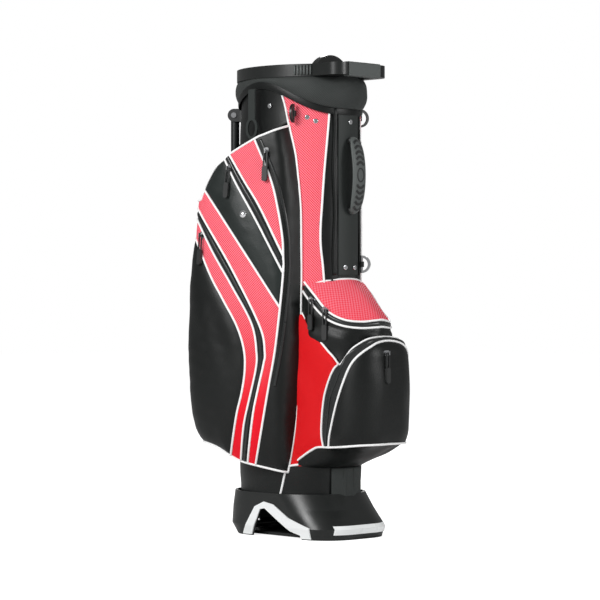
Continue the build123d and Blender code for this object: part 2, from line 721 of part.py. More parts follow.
# Share of the outline, height, and share and height of a lower point of the same zip
POCKET_ZIPS = {
    "front": (0.13, 697, 0.11, 600),
    "middle": (0.42, 668, 0.31, 600),
    "rear": (0.62, 548, 0.48, 480),
}
for zip_name, (share, height, low_share, low_height) in POCKET_ZIPS.items():
    top, facing = pocket_point(share, height)
    if facing.Y > 0:
        facing = facing * -1
    under, _ = pocket_point(share, height - PULL_LENGTH)
    low, _ = pocket_point(low_share, low_height)
    tilt = (under - top).normalized()
    facing = (facing - tilt * facing.dot(tilt)).normalized()
    zip_pair(f"{zip_name}_near", top, tilt, facing, low - top)
    if zip_name != "front":
        zip_pair(f"{zip_name}_far", flip(top), flip(tilt), flip(facing), flip(low - top))

# Oval angle and height of the lid's two sliders, and the fall of their zip
for zip_name, angle, height in (("lid_upper", -75, 430), ("lid_lower", -62, 412)):
    turn = radians(angle)
    top = Vector(LID_CENTRE + LID_A * cos(turn), LID_B * sin(turn), height)
    facing = Vector(LID_B * cos(turn), LID_A * sin(turn)).normalized()
    zip_pair(zip_name, top, Vector(0, 0, -1), facing, Vector(-facing.Y, facing.X, -0.6))

ball_front = BALL_CENTRE + 0.5 * BALL_SIZE[0]
zip_pair("ball", Vector(ball_front, -16, 336), Vector(0, 0, -1), Vector(1, 0, 0), Vector(0, -1, 0))
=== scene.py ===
# %% [markdown]
# # Golf stand bag
# The bag is an oval tube sewn from leatherette and woven panels. Pockets swell from its sides, a
# moulded ring closes its top, a rigid base closes its bottom and two folding legs lie along its back.
# The hard parts come from the CAD frame. Everything sewn is built here as surfaces worked out with
# numpy, so that seams, piping and zips all follow the same formulas.

import bpy
import numpy as np
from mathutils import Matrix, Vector


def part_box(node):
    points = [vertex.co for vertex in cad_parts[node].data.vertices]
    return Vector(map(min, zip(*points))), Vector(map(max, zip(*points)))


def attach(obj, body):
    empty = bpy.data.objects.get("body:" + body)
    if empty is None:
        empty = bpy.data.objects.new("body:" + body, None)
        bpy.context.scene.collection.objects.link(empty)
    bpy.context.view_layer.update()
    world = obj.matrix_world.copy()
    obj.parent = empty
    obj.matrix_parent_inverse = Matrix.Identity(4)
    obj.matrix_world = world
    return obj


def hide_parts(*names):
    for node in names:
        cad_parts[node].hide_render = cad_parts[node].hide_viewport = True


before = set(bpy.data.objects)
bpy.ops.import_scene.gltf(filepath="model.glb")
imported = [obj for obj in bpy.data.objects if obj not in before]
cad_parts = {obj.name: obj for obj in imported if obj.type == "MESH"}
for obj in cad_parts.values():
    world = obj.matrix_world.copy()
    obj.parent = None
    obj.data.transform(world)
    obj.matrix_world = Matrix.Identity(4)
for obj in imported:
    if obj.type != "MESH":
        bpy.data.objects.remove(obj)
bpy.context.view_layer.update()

# %% [markdown]
# The camera looks level from the front near corner, at about half the bag's height, from 4.5 m away.
# The long lens keeps the verticals parallel.

# %% Camera, floor and studio light
MM = 0.001
CAMERA_AZIMUTH = np.radians(45.0)
CAMERA_DISTANCE = 4.5
CAMERA_HEIGHT = 0.430
SENSOR = 36.0
LENS = 146.3


def aim(obj, place, target):
    """Puts obj at place, with its -Z axis towards target and its +Y axis up."""
    obj.location = place
    obj.rotation_euler = (Vector(target) - Vector(place)).to_track_quat("-Z", "Y").to_euler()


def area_light(name, place, target, size, power):
    """A square soft box of a given size in metres and power in watts."""
    lamp = bpy.data.lights.new(name, "AREA")
    lamp.shape = "SQUARE"
    lamp.size = size
    lamp.energy = power
    obj = bpy.data.objects.new(name, lamp)
    bpy.context.collection.objects.link(obj)
    aim(obj, place, target)
    return obj


camera_data = bpy.data.cameras.new("camera")
camera_data.sensor_width = SENSOR
camera_data.lens = LENS
camera = bpy.data.objects.new("camera", camera_data)
bpy.context.collection.objects.link(camera)
aim(camera,
    (CAMERA_DISTANCE * np.sin(CAMERA_AZIMUTH), -CAMERA_DISTANCE * np.cos(CAMERA_AZIMUTH), CAMERA_HEIGHT),
    (0.0, 0.0, CAMERA_HEIGHT))
camera_data.clip_end = 60.0
bpy.context.scene.camera = camera

world = bpy.data.worlds.new("studio")
world.use_nodes = True
sky = world.node_tree.nodes["Background"]
sky.inputs["Color"].default_value = (1.0, 1.0, 1.0, 1.0)
sky.inputs["Strength"].default_value = 0.26
backdrop = world.node_tree.nodes.new("ShaderNodeBackground")
seen = world.node_tree.nodes.new("ShaderNodeLightPath")
either = world.node_tree.nodes.new("ShaderNodeMixShader")
world.node_tree.links.new(seen.outputs["Is Camera Ray"], either.inputs[0])
world.node_tree.links.new(sky.outputs[0], either.inputs[1])
world.node_tree.links.new(backdrop.outputs[0], either.inputs[2])
world.node_tree.links.new(either.outputs[0], world.node_tree.nodes["World Output"].inputs["Surface"])
backdrop.inputs["Color"].default_value = (1.0, 1.0, 1.0, 1.0)
bpy.context.scene.world = world
bpy.context.scene.view_settings.view_transform = "Standard"

area_light("key", (0.2, -3.4, 2.2), (0.0, 0.0, 0.5), 1.4, 105.0)
area_light("fill", (3.4, 0.6, 1.4), (0.0, 0.0, 0.4), 1.0, 42.0)
area_light("rim", (-2.2, 2.6, 2.2), (0.0, 0.0, 0.5), 1.2, 40.0)

# %% [markdown]
# Each finish is one small node tree. Woven cloth needs its pattern to follow the surface, so it reads
# the piece's own UV map, whose unit is one metre of cloth. Moulded and grained finishes read Object
# coordinates, which are metres too, so one noise scale means the same grain on every piece.

# %% Material helpers


def new_material(name, color, rough, metallic=0.0, coat=0.0, sheen=0.0, specular=0.5):
    """A Principled material with its even values set on the shader's own sockets."""
    mat = bpy.data.materials.new(name)
    mat.use_nodes = True
    shader = mat.node_tree.nodes["Principled BSDF"]
    shader.inputs["Base Color"].default_value = (*color, 1.0)
    shader.inputs["Roughness"].default_value = rough
    shader.inputs["Metallic"].default_value = metallic
    shader.inputs["Coat Weight"].default_value = coat
    shader.inputs["Sheen Weight"].default_value = sheen
    shader.inputs["Specular IOR Level"].default_value = specular
    return mat, mat.node_tree, shader


def add_node(tree, kind, **values):
    """A node of a kind, with its properties and input defaults set by name."""
    node = tree.nodes.new(kind)
    for key, value in values.items():
        if key in node.inputs:
            node.inputs[key].default_value = value
        else:
            setattr(node, key, value)
    return node


def coordinates(tree, space):
    """Texture coordinates: Object for mouldings, UV for cloth."""
    return add_node(tree, "ShaderNodeTexCoord").outputs[space]


def bump(tree, shader, height, distance, strength=1.0):
    """Feeds a height through a Bump node of a given depth in metres."""
    node = add_node(tree, "ShaderNodeBump", Strength=strength, Distance=distance)
    tree.links.new(height, node.inputs["Height"])
    tree.links.new(node.outputs["Normal"], shader.inputs["Normal"])


def mixed_color(tree, factor, low, high):
    """Two colours blended by a factor."""
    node = add_node(tree, "ShaderNodeMix", data_type="RGBA")
    sockets = [s for s in node.inputs if s.name in ("A", "B") and s.type == "RGBA"]
    sockets[0].default_value = (*low, 1.0)
    sockets[1].default_value = (*high, 1.0)
    tree.links.new(factor, node.inputs[0])
    return [s for s in node.outputs if s.type == "RGBA"][0]


def math(tree, operation, a, b=0.0, c=None):
    """A Math node on sockets or numbers."""
    node = add_node(tree, "ShaderNodeMath", operation=operation)
    for socket, value in zip(node.inputs, (a, b, c)):
        if value is None:
            continue
        if hasattr(value, "is_output"):
            tree.links.new(value, socket)
        else:
            socket.default_value = value
    return node.outputs[0]


# %% Finishes


def leatherette(name, color, rough=0.42):
    """Coated cloth: a pebble grain 1.5 mm across, with slow changes of gloss."""
    mat, tree, shader = new_material(name, color, rough, specular=0.32)
    place = coordinates(tree, "Object")
    grain = add_node(tree, "ShaderNodeTexVoronoi", Scale=700.0, feature="SMOOTH_F1")
    tree.links.new(place, grain.inputs["Vector"])
    cloud = add_node(tree, "ShaderNodeTexNoise", Scale=14.0, Detail=3.0)
    tree.links.new(place, cloud.inputs["Vector"])
    gloss = math(tree, "MULTIPLY_ADD", cloud.outputs["Fac"], 0.22, rough - 0.11)
    tree.links.new(gloss, shader.inputs["Roughness"])
    shade = tuple(min(1.0, 1.5 * c) for c in color)
    tree.links.new(mixed_color(tree, cloud.outputs["Fac"], tuple(0.75 * c for c in color), shade),
                   shader.inputs["Base Color"])
    bump(tree, shader, grain.outputs["Distance"], 0.0004, 0.5)
    return mat


def woven(name, thread, gap, period, share, rough=0.55, fade=None):
    """Two-colour weave on the UV map: slanting threads of one colour over a ground of the other. A fade (low,
    high) in metres of height paints light and shade: the weave shows fully above high and gives way to plain
    thread colour below low.
    """
    mat, tree, shader = new_material(name, thread, rough, specular=0.25)
    split = add_node(tree, "ShaderNodeSeparateXYZ")
    tree.links.new(coordinates(tree, "UV"), split.inputs[0])
    u, v = split.outputs["X"], split.outputs["Y"]
    turns = 2.0 * np.pi / period
    slant = math(tree, "SINE", math(tree, "MULTIPLY", math(tree, "ADD", u, v), turns))
    cross = math(tree, "SINE", math(tree, "MULTIPLY", math(tree, "SUBTRACT", u, v), turns))
    weave = math(tree, "MULTIPLY_ADD", math(tree, "ADD", slant, math(tree, "MULTIPLY", cross, 0.5)), 0.33, 0.5)
    raised = math(tree, "MAXIMUM", math(tree, "MULTIPLY_ADD", weave, 2.2, -share), 0.0)
    factor = math(tree, "SMOOTH_MIN", raised, 1.0, 0.1)
    # Painted light and shade: towards the bottom the cloth turns to plain thread colour, so the top reads paler as
    # if lit and the foot redder as if shaded.
    if fade:
        level = add_node(tree, "ShaderNodeSeparateXYZ")
        tree.links.new(coordinates(tree, "Object"), level.inputs[0])
        painted_light_ramp = add_node(tree, "ShaderNodeMapRange", interpolation_type="SMOOTHSTEP")
        for socket, value in zip(painted_light_ramp.inputs[1:5], (*fade, 1.0, 0.0)):
            socket.default_value = value
        tree.links.new(level.outputs["Z"], painted_light_ramp.inputs[0])
        factor = math(tree, "MAXIMUM", factor, painted_light_ramp.outputs[0])
    tree.links.new(mixed_color(tree, factor, gap, thread), shader.inputs["Base Color"])
    bump(tree, shader, weave, 0.0005, 0.6)
    return mat


def moulded(name, color, rough, scale=900.0, depth=0.0001, coat=0.0):
    """Moulded plastic or rubber with a fine spark-eroded texture."""
    mat, tree, shader = new_material(name, color, rough, coat=coat)
    place = coordinates(tree, "Object")
    grain = add_node(tree, "ShaderNodeTexNoise", Scale=scale, Detail=2.0)
    tree.links.new(place, grain.inputs["Vector"])
    wear = add_node(tree, "ShaderNodeTexNoise", Scale=30.0, Detail=4.0)
    tree.links.new(place, wear.inputs["Vector"])
    tree.links.new(math(tree, "MULTIPLY_ADD", wear.outputs["Fac"], 0.2, rough - 0.1), shader.inputs["Roughness"])
    bump(tree, shader, grain.outputs["Fac"], depth, 0.6)
    return mat


def metal(name, color, rough):
    """Plated or drawn metal with faint smears in its gloss."""
    mat, tree, shader = new_material(name, color, rough, metallic=1.0)
    smear = add_node(tree, "ShaderNodeTexNoise", Scale=60.0, Detail=3.0)
    tree.links.new(coordinates(tree, "Object"), smear.inputs["Vector"])
    tree.links.new(math(tree, "MULTIPLY_ADD", smear.outputs["Fac"], 0.15, max(0.02, rough - 0.07)),
                   shader.inputs["Roughness"])
    return mat


BLACK = leatherette("black_leatherette", (0.0035, 0.0045, 0.0042))
CHARCOAL = leatherette("charcoal_leatherette", (0.013, 0.017, 0.016), 0.36)
# The red weave fades from 0.50 m down to 0.22 m as painted light and shade: a paler lit top and a plain red shaded
# foot. The red and pink weave itself is the cloth's own.
RED_WEAVE = woven("red_white_weave", (0.84, 0.0, 0.015), (0.90, 0.29, 0.37), 0.0046, 0.50,
                  fade=(0.22, 0.50))
RED = woven("red_cloth", (0.86, 0.0, 0.004), (0.62, 0.0, 0.004), 0.0016, 0.5)
AIR_MESH = woven("black_air_mesh", (0.02, 0.023, 0.022), (0.06, 0.066, 0.064), 0.0030, 0.4)
WEBBING = woven("black_webbing", (0.018, 0.022, 0.021), (0.045, 0.05, 0.048), 0.0022, 0.5)
PIPING = moulded("white_piping", (0.96, 0.96, 0.96), 0.38, 400.0)
ZIP_TAPE = woven("zip_tape", (0.012, 0.013, 0.013), (0.03, 0.032, 0.032), 0.0012, 0.5)
ZIP_TEETH = moulded("zip_teeth", (0.016, 0.018, 0.018), 0.3)
PLASTIC = moulded("black_moulding", (0.008, 0.0095, 0.009), 0.36)
SILVER = moulded("silver_trim", (0.90, 0.92, 0.92), 0.3, coat=0.3)
RUBBER = moulded("grey_rubber", (0.085, 0.095, 0.092), 0.55, 600.0, 0.0002)
BLACK_RUBBER = moulded("black_rubber", (0.016, 0.017, 0.017), 0.5, 600.0, 0.0002)
CHROME = metal("chrome", (0.82, 0.83, 0.85), 0.12)
STEEL = metal("drawn_steel", (0.55, 0.56, 0.58), 0.3)
ANODISED = metal("black_anodised_tube", (0.03, 0.032, 0.034), 0.28)
FIBREGLASS = moulded("fibreglass", (0.45, 0.46, 0.38), 0.4)
FLOOR, floor_tree, floor_shader = new_material("studio_floor", (0.8, 0.8, 0.8), 0.9)
glow = add_node(floor_tree, "ShaderNodeEmission", Strength=0.80)
both = add_node(floor_tree, "ShaderNodeAddShader")
direct = add_node(floor_tree, "ShaderNodeMixShader")
floor_tree.links.new(floor_shader.outputs[0], both.inputs[0])
floor_tree.links.new(glow.outputs[0], both.inputs[1])
floor_tree.links.new(add_node(floor_tree, "ShaderNodeLightPath").outputs["Is Camera Ray"], direct.inputs[0])
floor_tree.links.new(floor_shader.outputs[0], direct.inputs[1])
floor_tree.links.new(both.outputs[0], direct.inputs[2])
floor_tree.links.new(direct.outputs[0], floor_tree.nodes["Material Output"].inputs["Surface"])

# %% [markdown]
# Every sewn surface starts as a grid of points, a function of two parameters. These helpers turn whole
# arrays into meshes at once, and carry a round or flat profile along a path for piping, straps and
# cords.

# %% Mesh helpers


def make_object(name, points, faces, material, uv=None, smooth=True, body="bag"):
    """Mesh object from arrays of points in metres and quad corners, riding on a body."""
    mesh = bpy.data.meshes.new(name)
    points = np.asarray(points, dtype=np.float32).reshape(-1, 3)
    faces = np.asarray(faces, dtype=np.int32)
    mesh.vertices.add(len(points))
    mesh.vertices.foreach_set("co", points.ravel())
    mesh.loops.add(faces.size)
    mesh.loops.foreach_set("vertex_index", faces.ravel())
    mesh.polygons.add(len(faces))
    corners = faces.shape[1]
    mesh.polygons.foreach_set("loop_start", np.arange(0, faces.size, corners, dtype=np.int32))
    mesh.polygons.foreach_set("loop_total", np.full(len(faces), corners, dtype=np.int32))
    mesh.update(calc_edges=True)
    if uv is not None:
        layer = mesh.uv_layers.new(name="cloth")
        layer.data.foreach_set("uv", np.asarray(uv, dtype=np.float32).reshape(-1, 2)[faces.ravel()].ravel())
    mesh.polygons.foreach_set("use_smooth", np.full(len(faces), smooth))
    mesh.materials.append(material)
    mesh.validate()
    obj = bpy.data.objects.new(name, mesh)
    bpy.context.collection.objects.link(obj)
    if body:
        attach(obj, body)
    return obj


def grid_faces(rows, cols, wrap=False):
    """Quad corners of a grid of rows by cols points; wrap joins the last column to the first."""
    index = np.arange(rows * cols).reshape(rows, cols)
    right = np.roll(index, -1, axis=1) if wrap else index[:, 1:]
    left = index if wrap else index[:, :-1]
    quads = np.stack([left[:-1], right[:-1], right[1:], left[1:]], axis=-1)
    return quads.reshape(-1, 4)


def smooth_line(points, count):
    """Catmull-Rom curve through given points, sampled at even distances."""
    p = np.asarray(points, dtype=float)
    ends = np.vstack([2 * p[0] - p[1], p, 2 * p[-1] - p[-2]])
    t = np.linspace(0, len(p) - 1, 24 * len(p))
    i = np.minimum(t.astype(int), len(p) - 2)
    f = (t - i)[:, None]
    a, b, c, d = ends[i], ends[i + 1], ends[i + 2], ends[i + 3]
    line = 0.5 * (2 * b + (c - a) * f + (2 * a - 5 * b + 4 * c - d) * f**2 + (3 * b - a - 3 * c + d) * f**3)
    return even_line(line, count)


def run_along(line):
    """Distance of every point along a polyline from its start."""
    return np.concatenate([[0], np.cumsum(np.linalg.norm(np.diff(line, axis=0), axis=1))])


def even_line(line, count):
    """The same line with count points at even distances."""
    run = run_along(line)
    at = np.linspace(0, run[-1], count)
    return np.stack([np.interp(at, run, line[:, k]) for k in range(line.shape[1])], axis=1)


def frames_along(line, outward):
    """Unit tangent, side and outward vectors along a line, outward being a rough hint per point."""
    tangent = np.gradient(line, axis=0)
    tangent /= np.linalg.norm(tangent, axis=1, keepdims=True)
    out = outward - tangent * np.sum(outward * tangent, axis=1, keepdims=True)
    out /= np.linalg.norm(out, axis=1, keepdims=True)
    return tangent, np.cross(tangent, out), out


def profile_along(name, line, outward, profile, material, body="bag", closed=False):
    """Carries a closed profile of (side, outward) points along a line; caps the ends if it is open."""
    tangent, side, out = frames_along(line, outward)
    profile = np.asarray(profile)
    rings = (line[:, None] + side[:, None] * profile[None, :, :1] + out[:, None] * profile[None, :, 1:])
    rows, cols = rings.shape[:2]
    faces = grid_faces(rows, cols, wrap=True)
    if closed:
        last = np.arange((rows - 1) * cols, rows * cols)
        first = np.arange(cols)
        faces = np.vstack([faces, np.stack([last, np.roll(last, -1), np.roll(first, -1), first], axis=-1)])
    points = rings.reshape(-1, 3)
    if not closed:
        tips = np.vstack([line[0], line[-1]])
        points = np.vstack([points, tips])
        start, end = rows * cols, rows * cols + 1
        c = np.arange(cols)
        n = np.roll(c, -1)
        caps = np.vstack([np.stack([np.full(cols, start), n, c, c], -1),
                          np.stack([np.full(cols, end), (rows - 1) * cols + c, (rows - 1) * cols + n,
                                    (rows - 1) * cols + n], -1)])
        return make_solid(name, points, faces, caps[:, :3], material, body, profile, line)
    return make_solid(name, points, faces, np.zeros((0, 3), dtype=int), material, body, profile, line)


def make_solid(name, points, quads, triangles, material, body, profile, line):
    """Object from quads and triangles, with a UV map that runs round and along the profile."""
    mesh = bpy.data.meshes.new(name)
    mesh.from_pydata(points.tolist(), [], quads.tolist() + triangles.tolist())
    mesh.polygons.foreach_set("use_smooth", np.full(len(mesh.polygons), True))
    uv = np.stack(np.broadcast_arrays(run_along(profile)[None], run_along(line)[:, None]), axis=-1).reshape(-1, 2)
    uv = np.vstack([uv, np.zeros((len(points) - len(uv), 2))])
    corners = np.empty(len(mesh.loops), dtype=np.int32)
    mesh.loops.foreach_get("vertex_index", corners)
    mesh.uv_layers.new(name="cloth").data.foreach_set("uv", uv[corners].astype(np.float32).ravel())
    mesh.materials.append(material)
    obj = bpy.data.objects.new(name, mesh)
    bpy.context.collection.objects.link(obj)
    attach(obj, body)
    return obj


def round_profile(radius, sides=8):
    """Circle of points."""
    a = np.arange(sides) * 2 * np.pi / sides
    return np.stack([radius * np.cos(a), radius * np.sin(a)], axis=1)


def flat_profile(width, thick, lift=0.0):
    """Strap section: a rounded flat band, thick high, standing lift above the line."""
    a = np.arange(12) * 2 * np.pi / 12
    x = 0.5 * width * np.sign(np.cos(a)) * np.abs(np.cos(a))**0.35
    y = 0.5 * thick * np.sign(np.sin(a)) * np.abs(np.sin(a))**0.6
    return np.stack([x, y + 0.5 * thick + lift], axis=1)


FAR_LIMIT = 0.1485


CORD_STAND = 0.0024


def mirror_to_far(obj, name, body="bag"):
    """Copies a near-side piece across the middle plane, and flattens what passes X + Y = FAR_LIMIT. Piping
    and coils stand a little further out, so that they lie on the flattened cloth."""
    limit = FAR_LIMIT + (CORD_STAND if "piping" in name or "coil" in name else 0.0)
    mesh = obj.data.copy()
    count = len(mesh.vertices)
    points = np.empty(count * 3, dtype=np.float32)
    mesh.vertices.foreach_get("co", points)
    points = points.reshape(-1, 3)
    points[:, 1] *= -1
    points[:, :2] -= 0.5 * np.maximum(points[:, 0] + points[:, 1] - limit, 0)[:, None]
    mesh.vertices.foreach_set("co", points.ravel())
    mesh.flip_normals()
    mesh.update()
    twin = bpy.data.objects.new(name, mesh)
    bpy.context.collection.objects.link(twin)
    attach(twin, body)
    return twin


# %% [markdown]
# The tube is an oval, 250 mm long and 190 mm wide. A point on it is given by its oval angle, 0 at the
# front and negative towards the near side, and its height. Seams are short lists of chosen points
# (angle, height) with a smooth curve through them.

# %% The oval tube
TUBE_A = 0.125
TUBE_B = 0.095
TUBE_LOW, TUBE_TOP = (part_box("spine_panel")[k][2] for k in (0, 1))


def oval(angle, height, grow=0.0):
    """Point (A+g)cos, (B+g)sin at a height; angle in degrees."""
    a = np.radians(angle)
    return np.stack(np.broadcast_arrays((TUBE_A + grow) * np.cos(a), (TUBE_B + grow) * np.sin(a), height), axis=-1)


def oval_out(angle):
    """Outward normal of the oval."""
    a = np.radians(angle)
    n = np.stack(np.broadcast_arrays(TUBE_B * np.cos(a), TUBE_A * np.sin(a), 0.0 * a), axis=-1)
    return n / np.linalg.norm(n, axis=-1, keepdims=True)


def waves(u, v, seed, count=14, size=0.12):
    """Soft random relief from -1 to 1: a sum of slanting sine waves of about one size."""
    draw = np.random.default_rng(seed)
    total = np.zeros(np.broadcast(u, v).shape)
    for _ in range(count):
        turn = draw.uniform(0, 2 * np.pi)
        reach = size * draw.uniform(0.5, 1.6)
        phase = draw.uniform(0, 2 * np.pi)
        total += np.sin(2 * np.pi * (u * np.cos(turn) + v * np.sin(turn)) / reach + phase)
    return total / np.sqrt(2.0 * count)


def seam_distance(points, seams):
    """Distance from every point to the nearest of the seams' points."""
    flat = points.reshape(-1, 3).astype(np.float32)
    marks = np.vstack(seams).astype(np.float32)
    best = np.full(len(flat), 1e9, dtype=np.float32)
    for part in np.array_split(np.arange(len(flat)), max(1, len(flat) // 4000)):
        square = ((flat[part]**2).sum(1)[:, None] + (marks**2).sum(1)[None] - 2 * flat[part] @ marks.T)
        best[part] = square.min(axis=1)
    return np.sqrt(np.maximum(best, 0)).reshape(points.shape[:-1])


def grid_normals(points):
    """Unit normals of a grid of points, from its row and column directions."""
    rows = np.gradient(points, axis=0)
    cols = np.gradient(points, axis=1)
    n = np.cross(cols, rows)
    return n / np.maximum(np.linalg.norm(n, axis=-1, keepdims=True), 1e-12)


PIPE = 0.0021


def piping(name, line, outward, body="bag"):
    """White cord sewn into a seam."""
    return profile_along(name, line, outward, round_profile(PIPE) + (0.0, 0.0006), PIPING, body)

# %% [markdown]
# The near apparel pocket bulges from the tube. At each height its outline runs from the mesh panel's
# seam round to the leg side through ten listed points, each pulled back towards its foot on the
# tube where the pocket is slack, at its top and bottom. The share t along that outline and the height z
# are the surface's two parameters.

# %% Apparel pocket surface
POCKET_OUTLINE = MM * np.array([
    (77, -76), (67, -113), (35, -133), (0, -148), (-45, -161), (-90, -167), (-121, -159), (-141, -133),
    (-144, -95),
    (-112, -47)])
POCKET_FEET = np.array([-52, -57, -68, -84, -102, -118, -130, -140, -150, -154])
POCKET_FULL = np.array([
    (0.118, 0.22), (0.126, 0.36), (0.150, 0.60), (0.185, 0.82), (0.240, 0.95), (0.350, 1.0), (0.480, 0.98),
    (0.600, 0.92), (0.690, 0.83), (0.760, 0.70)])


def blend_weights(t, count):
    """Catmull-Rom weights of count even control points at the shares t."""
    x = np.clip(t, 0, 1) * (count - 1)
    i = np.minimum(x.astype(int), count - 2)
    f = x - i
    basis = 0.5 * np.stack([
        -f + 2 * f**2 - f**3, 2 - 5 * f**2 + 3 * f**3, f + 4 * f**2 - 3 * f**3, f**3 - f**2], -1)
    weights = np.zeros((*t.shape, count + 2))
    for k in range(4):
        np.put_along_axis(weights, (i + k)[..., None],
                          np.take_along_axis(weights, (i + k)[..., None], -1) + basis[..., k:k + 1], -1)
    inner = weights[..., 1:-1].copy()
    inner[..., 0] += 2 * weights[..., 0]
    inner[..., 1] -= weights[..., 0]
    inner[..., -1] += 2 * weights[..., -1]
    inner[..., -2] -= weights[..., -1]
    return inner


FULL_LINE = smooth_line(POCKET_FULL, 200)
# How far the front edge draws back along the tube, in wrap, at each height
FRONT_EDGE = MM * smooth_line(np.array([
(116, -34), (134, -29), (180, -17), (220, -10), (300, -2), (400, 2), (560, 2), (615, -1), (672, -9), (697, -14),
    (740, -28), (760, -34)], float), 200)
EDGE_SHARE = np.array([1.0, 0.7, 0.25, 0, 0, 0, 0, 0, 0, 0])
# How far the rear corner draws in at each height, for the slack cloth above the pocket's middle
REAR_DRAW = MM * smooth_line(np.array([(116, 0), (420, 0), (484, 8), (545, 16), (610, 19), (760, 20)], float), 200)
REAR_SHARE = np.array([0, 0, 0, 0, 0, 0, 0.4, 1.0, 1.0, 0.4])


def pocket_skin(t, z):
    """Point of the near pocket: the blend of feet + fullness(z) * (outline - feet)."""
    t, z = np.broadcast_arrays(np.asarray(t, float), np.asarray(z, float))
    full = np.interp(z, FULL_LINE[:, 0], FULL_LINE[:, 1])
    feet = oval(POCKET_FEET, 0.0)[:, :2]
    control = feet + full[..., None, None] * (POCKET_OUTLINE - feet)
    back = np.interp(z, FRONT_EDGE[:, 0], FRONT_EDGE[:, 1])
    control = control + (back[..., None] * EDGE_SHARE)[..., None] * np.array([0.685, 0.315])
    draw = np.interp(z, REAR_DRAW[:, 0], REAR_DRAW[:, 1])
    control = control + (draw[..., None] * REAR_SHARE)[..., None] * np.array([1.0, 0.0])
    plan = np.einsum("...i,...ik->...k", blend_weights(t, len(POCKET_FEET)), control)
    return np.concatenate([plan, z[..., None]], axis=-1)


# The wrap of a point is its X + Y, which falls steadily from the mesh panel to the pocket's rear
# corner; past that corner it keeps falling at the same rate.


def pocket_wrap(t, z):
    """Wrap of the surface at shares t (even, along the last axis) and heights z."""
    p = pocket_skin(t, z)
    w = p[..., 0] + p[..., 1]
    lowest = np.minimum.accumulate(w, axis=-1)
    return 2 * lowest - w


T_FINE = np.linspace(0, 1, 400)


def share_at(wrap, z):
    """Share t at which the surface has a given wrap, one height at a time."""
    table = pocket_wrap(T_FINE[None], np.asarray(z)[:, None])
    return np.array([np.interp(-w, -row, T_FINE) for w, row in zip(wrap, table)])


# Seams of the near pocket as (wrap, height) in millimetres, each from its top to its bottom
POCKET_SEAMS = {
    "stripe_low": ((-330, 655), (-240, 492), (-199, 434), (-162, 385), (-143, 343), (-140, 305), (-148, 264),
                   (-162, 221), (-177, 150), (-179, 130)),
    "zip_low": ((-330, 680), (-237, 536), (-175, 457), (-123, 388), (-110, 336), (-112, 305), (-128, 253),
                (-143, 203), (-151, 139), (-152, 120)),
    "stripe_high": ((-330, 690), (-254, 586), (-175, 488), (-102, 383), (-89, 336), (-92, 316), (-105, 275),
                    (-120, 222), (-133, 138), (-134, 118)),
    "panel_low": ((-300, 690), (-243, 628), (-51, 416)),
    "zip_high_rear": ((-205, 697), (-192, 684), (-164, 642), (-112, 574), (-43, 478)),
    "zip_high_front": ((-195, 712), (-180, 693), (-142, 645), (-100, 594), (-43, 509)),
    "corner": ((-116, 724), (-115, 719), (-74, 647), (-56, 593), (-45, 543), (-43, 510), (-43, 480), (-51, 416),
               (-64, 337), (-79, 276), (-92, 222), (-112, 136), (-115, 116)),
}
SEAM_ORDER = list(POCKET_SEAMS)
TOP_EDGE = ((-420, 612), (-330, 616), (-262, 612), (-250, 622), (-243, 636), (-230, 655), (-214, 673), (-193, 686),
            (-174, 697), (-115, 721), (-92, 728), (-30, 744), (10, 752))
LOW_EDGE = ((-420, 176), (-300, 176), (-225, 166), (-180, 148), (-151, 138), (-110, 131), (-43, 121), (10, 112))


def edge_height(edge, wrap):
    """Height of a pocket edge at a wrap."""
    line = smooth_line(np.array(edge, float), 300)
    return MM * np.interp(wrap / MM, line[:, 0], line[:, 1])


def pocket_rim(edge, t):
    """Heights of an edge at the shares t, found by stepping between wrap and height."""
    z = np.full(t.shape, 0.4)
    for _ in range(12):
        z = 0.5 * z + 0.5 * edge_height(edge, pocket_wrap(t, z))
    return z


def seam_line(points, count=160):
    """3-D line of a seam given as (wrap, height) points, cut at the pocket's edges."""
    line = smooth_line(np.array(points, float), count) * MM
    t = share_at(line[:, 0], line[:, 1])
    high, low = edge_height(TOP_EDGE, line[:, 0]), edge_height(LOW_EDGE, line[:, 0])
    keep = (line[:, 1] <= high + 0.0005) & (line[:, 1] >= low - 0.0005)
    return t[keep], line[keep, 1]


COLS, ROWS = 230, 290
share = np.linspace(0, 1, COLS)
rim_top, rim_low = pocket_rim(TOP_EDGE, share), pocket_rim(LOW_EDGE, share)
rise = np.linspace(0, 1, ROWS)[:, None]
grid_z = rim_low + rise * (rim_top - rim_low)
grid_t = np.broadcast_to(share, grid_z.shape)
flat_skin = pocket_skin(grid_t, grid_z)
wrap_mm = pocket_wrap(grid_t, grid_z) / MM
height_mm = grid_z / MM


def seam_wrap(name, height):
    """Wrap of a seam at a height in mm: above its top everything is in front of it, below it behind."""
    line = smooth_line(np.array(POCKET_SEAMS[name], float), 300)[::-1]
    w = np.interp(height, line[:, 1], line[:, 0])
    w = np.where(height > line[-1, 1], -1e4, w)
    return np.where(height < line[0, 1], 1e4, w)


region = sum((wrap_mm > seam_wrap(name, height_mm)).astype(int) for name in SEAM_ORDER)
region[wrap_mm > seam_wrap("corner", height_mm)] = len(SEAM_ORDER)
print("pocket cells per region", np.bincount(region.ravel()))

# %% [markdown]
# Each panel swells away from its seams: lift = puff (1 - exp(-d / 12 mm)), d being the distance to the
# nearest seam. Soft waves add creases where the cloth is slack.

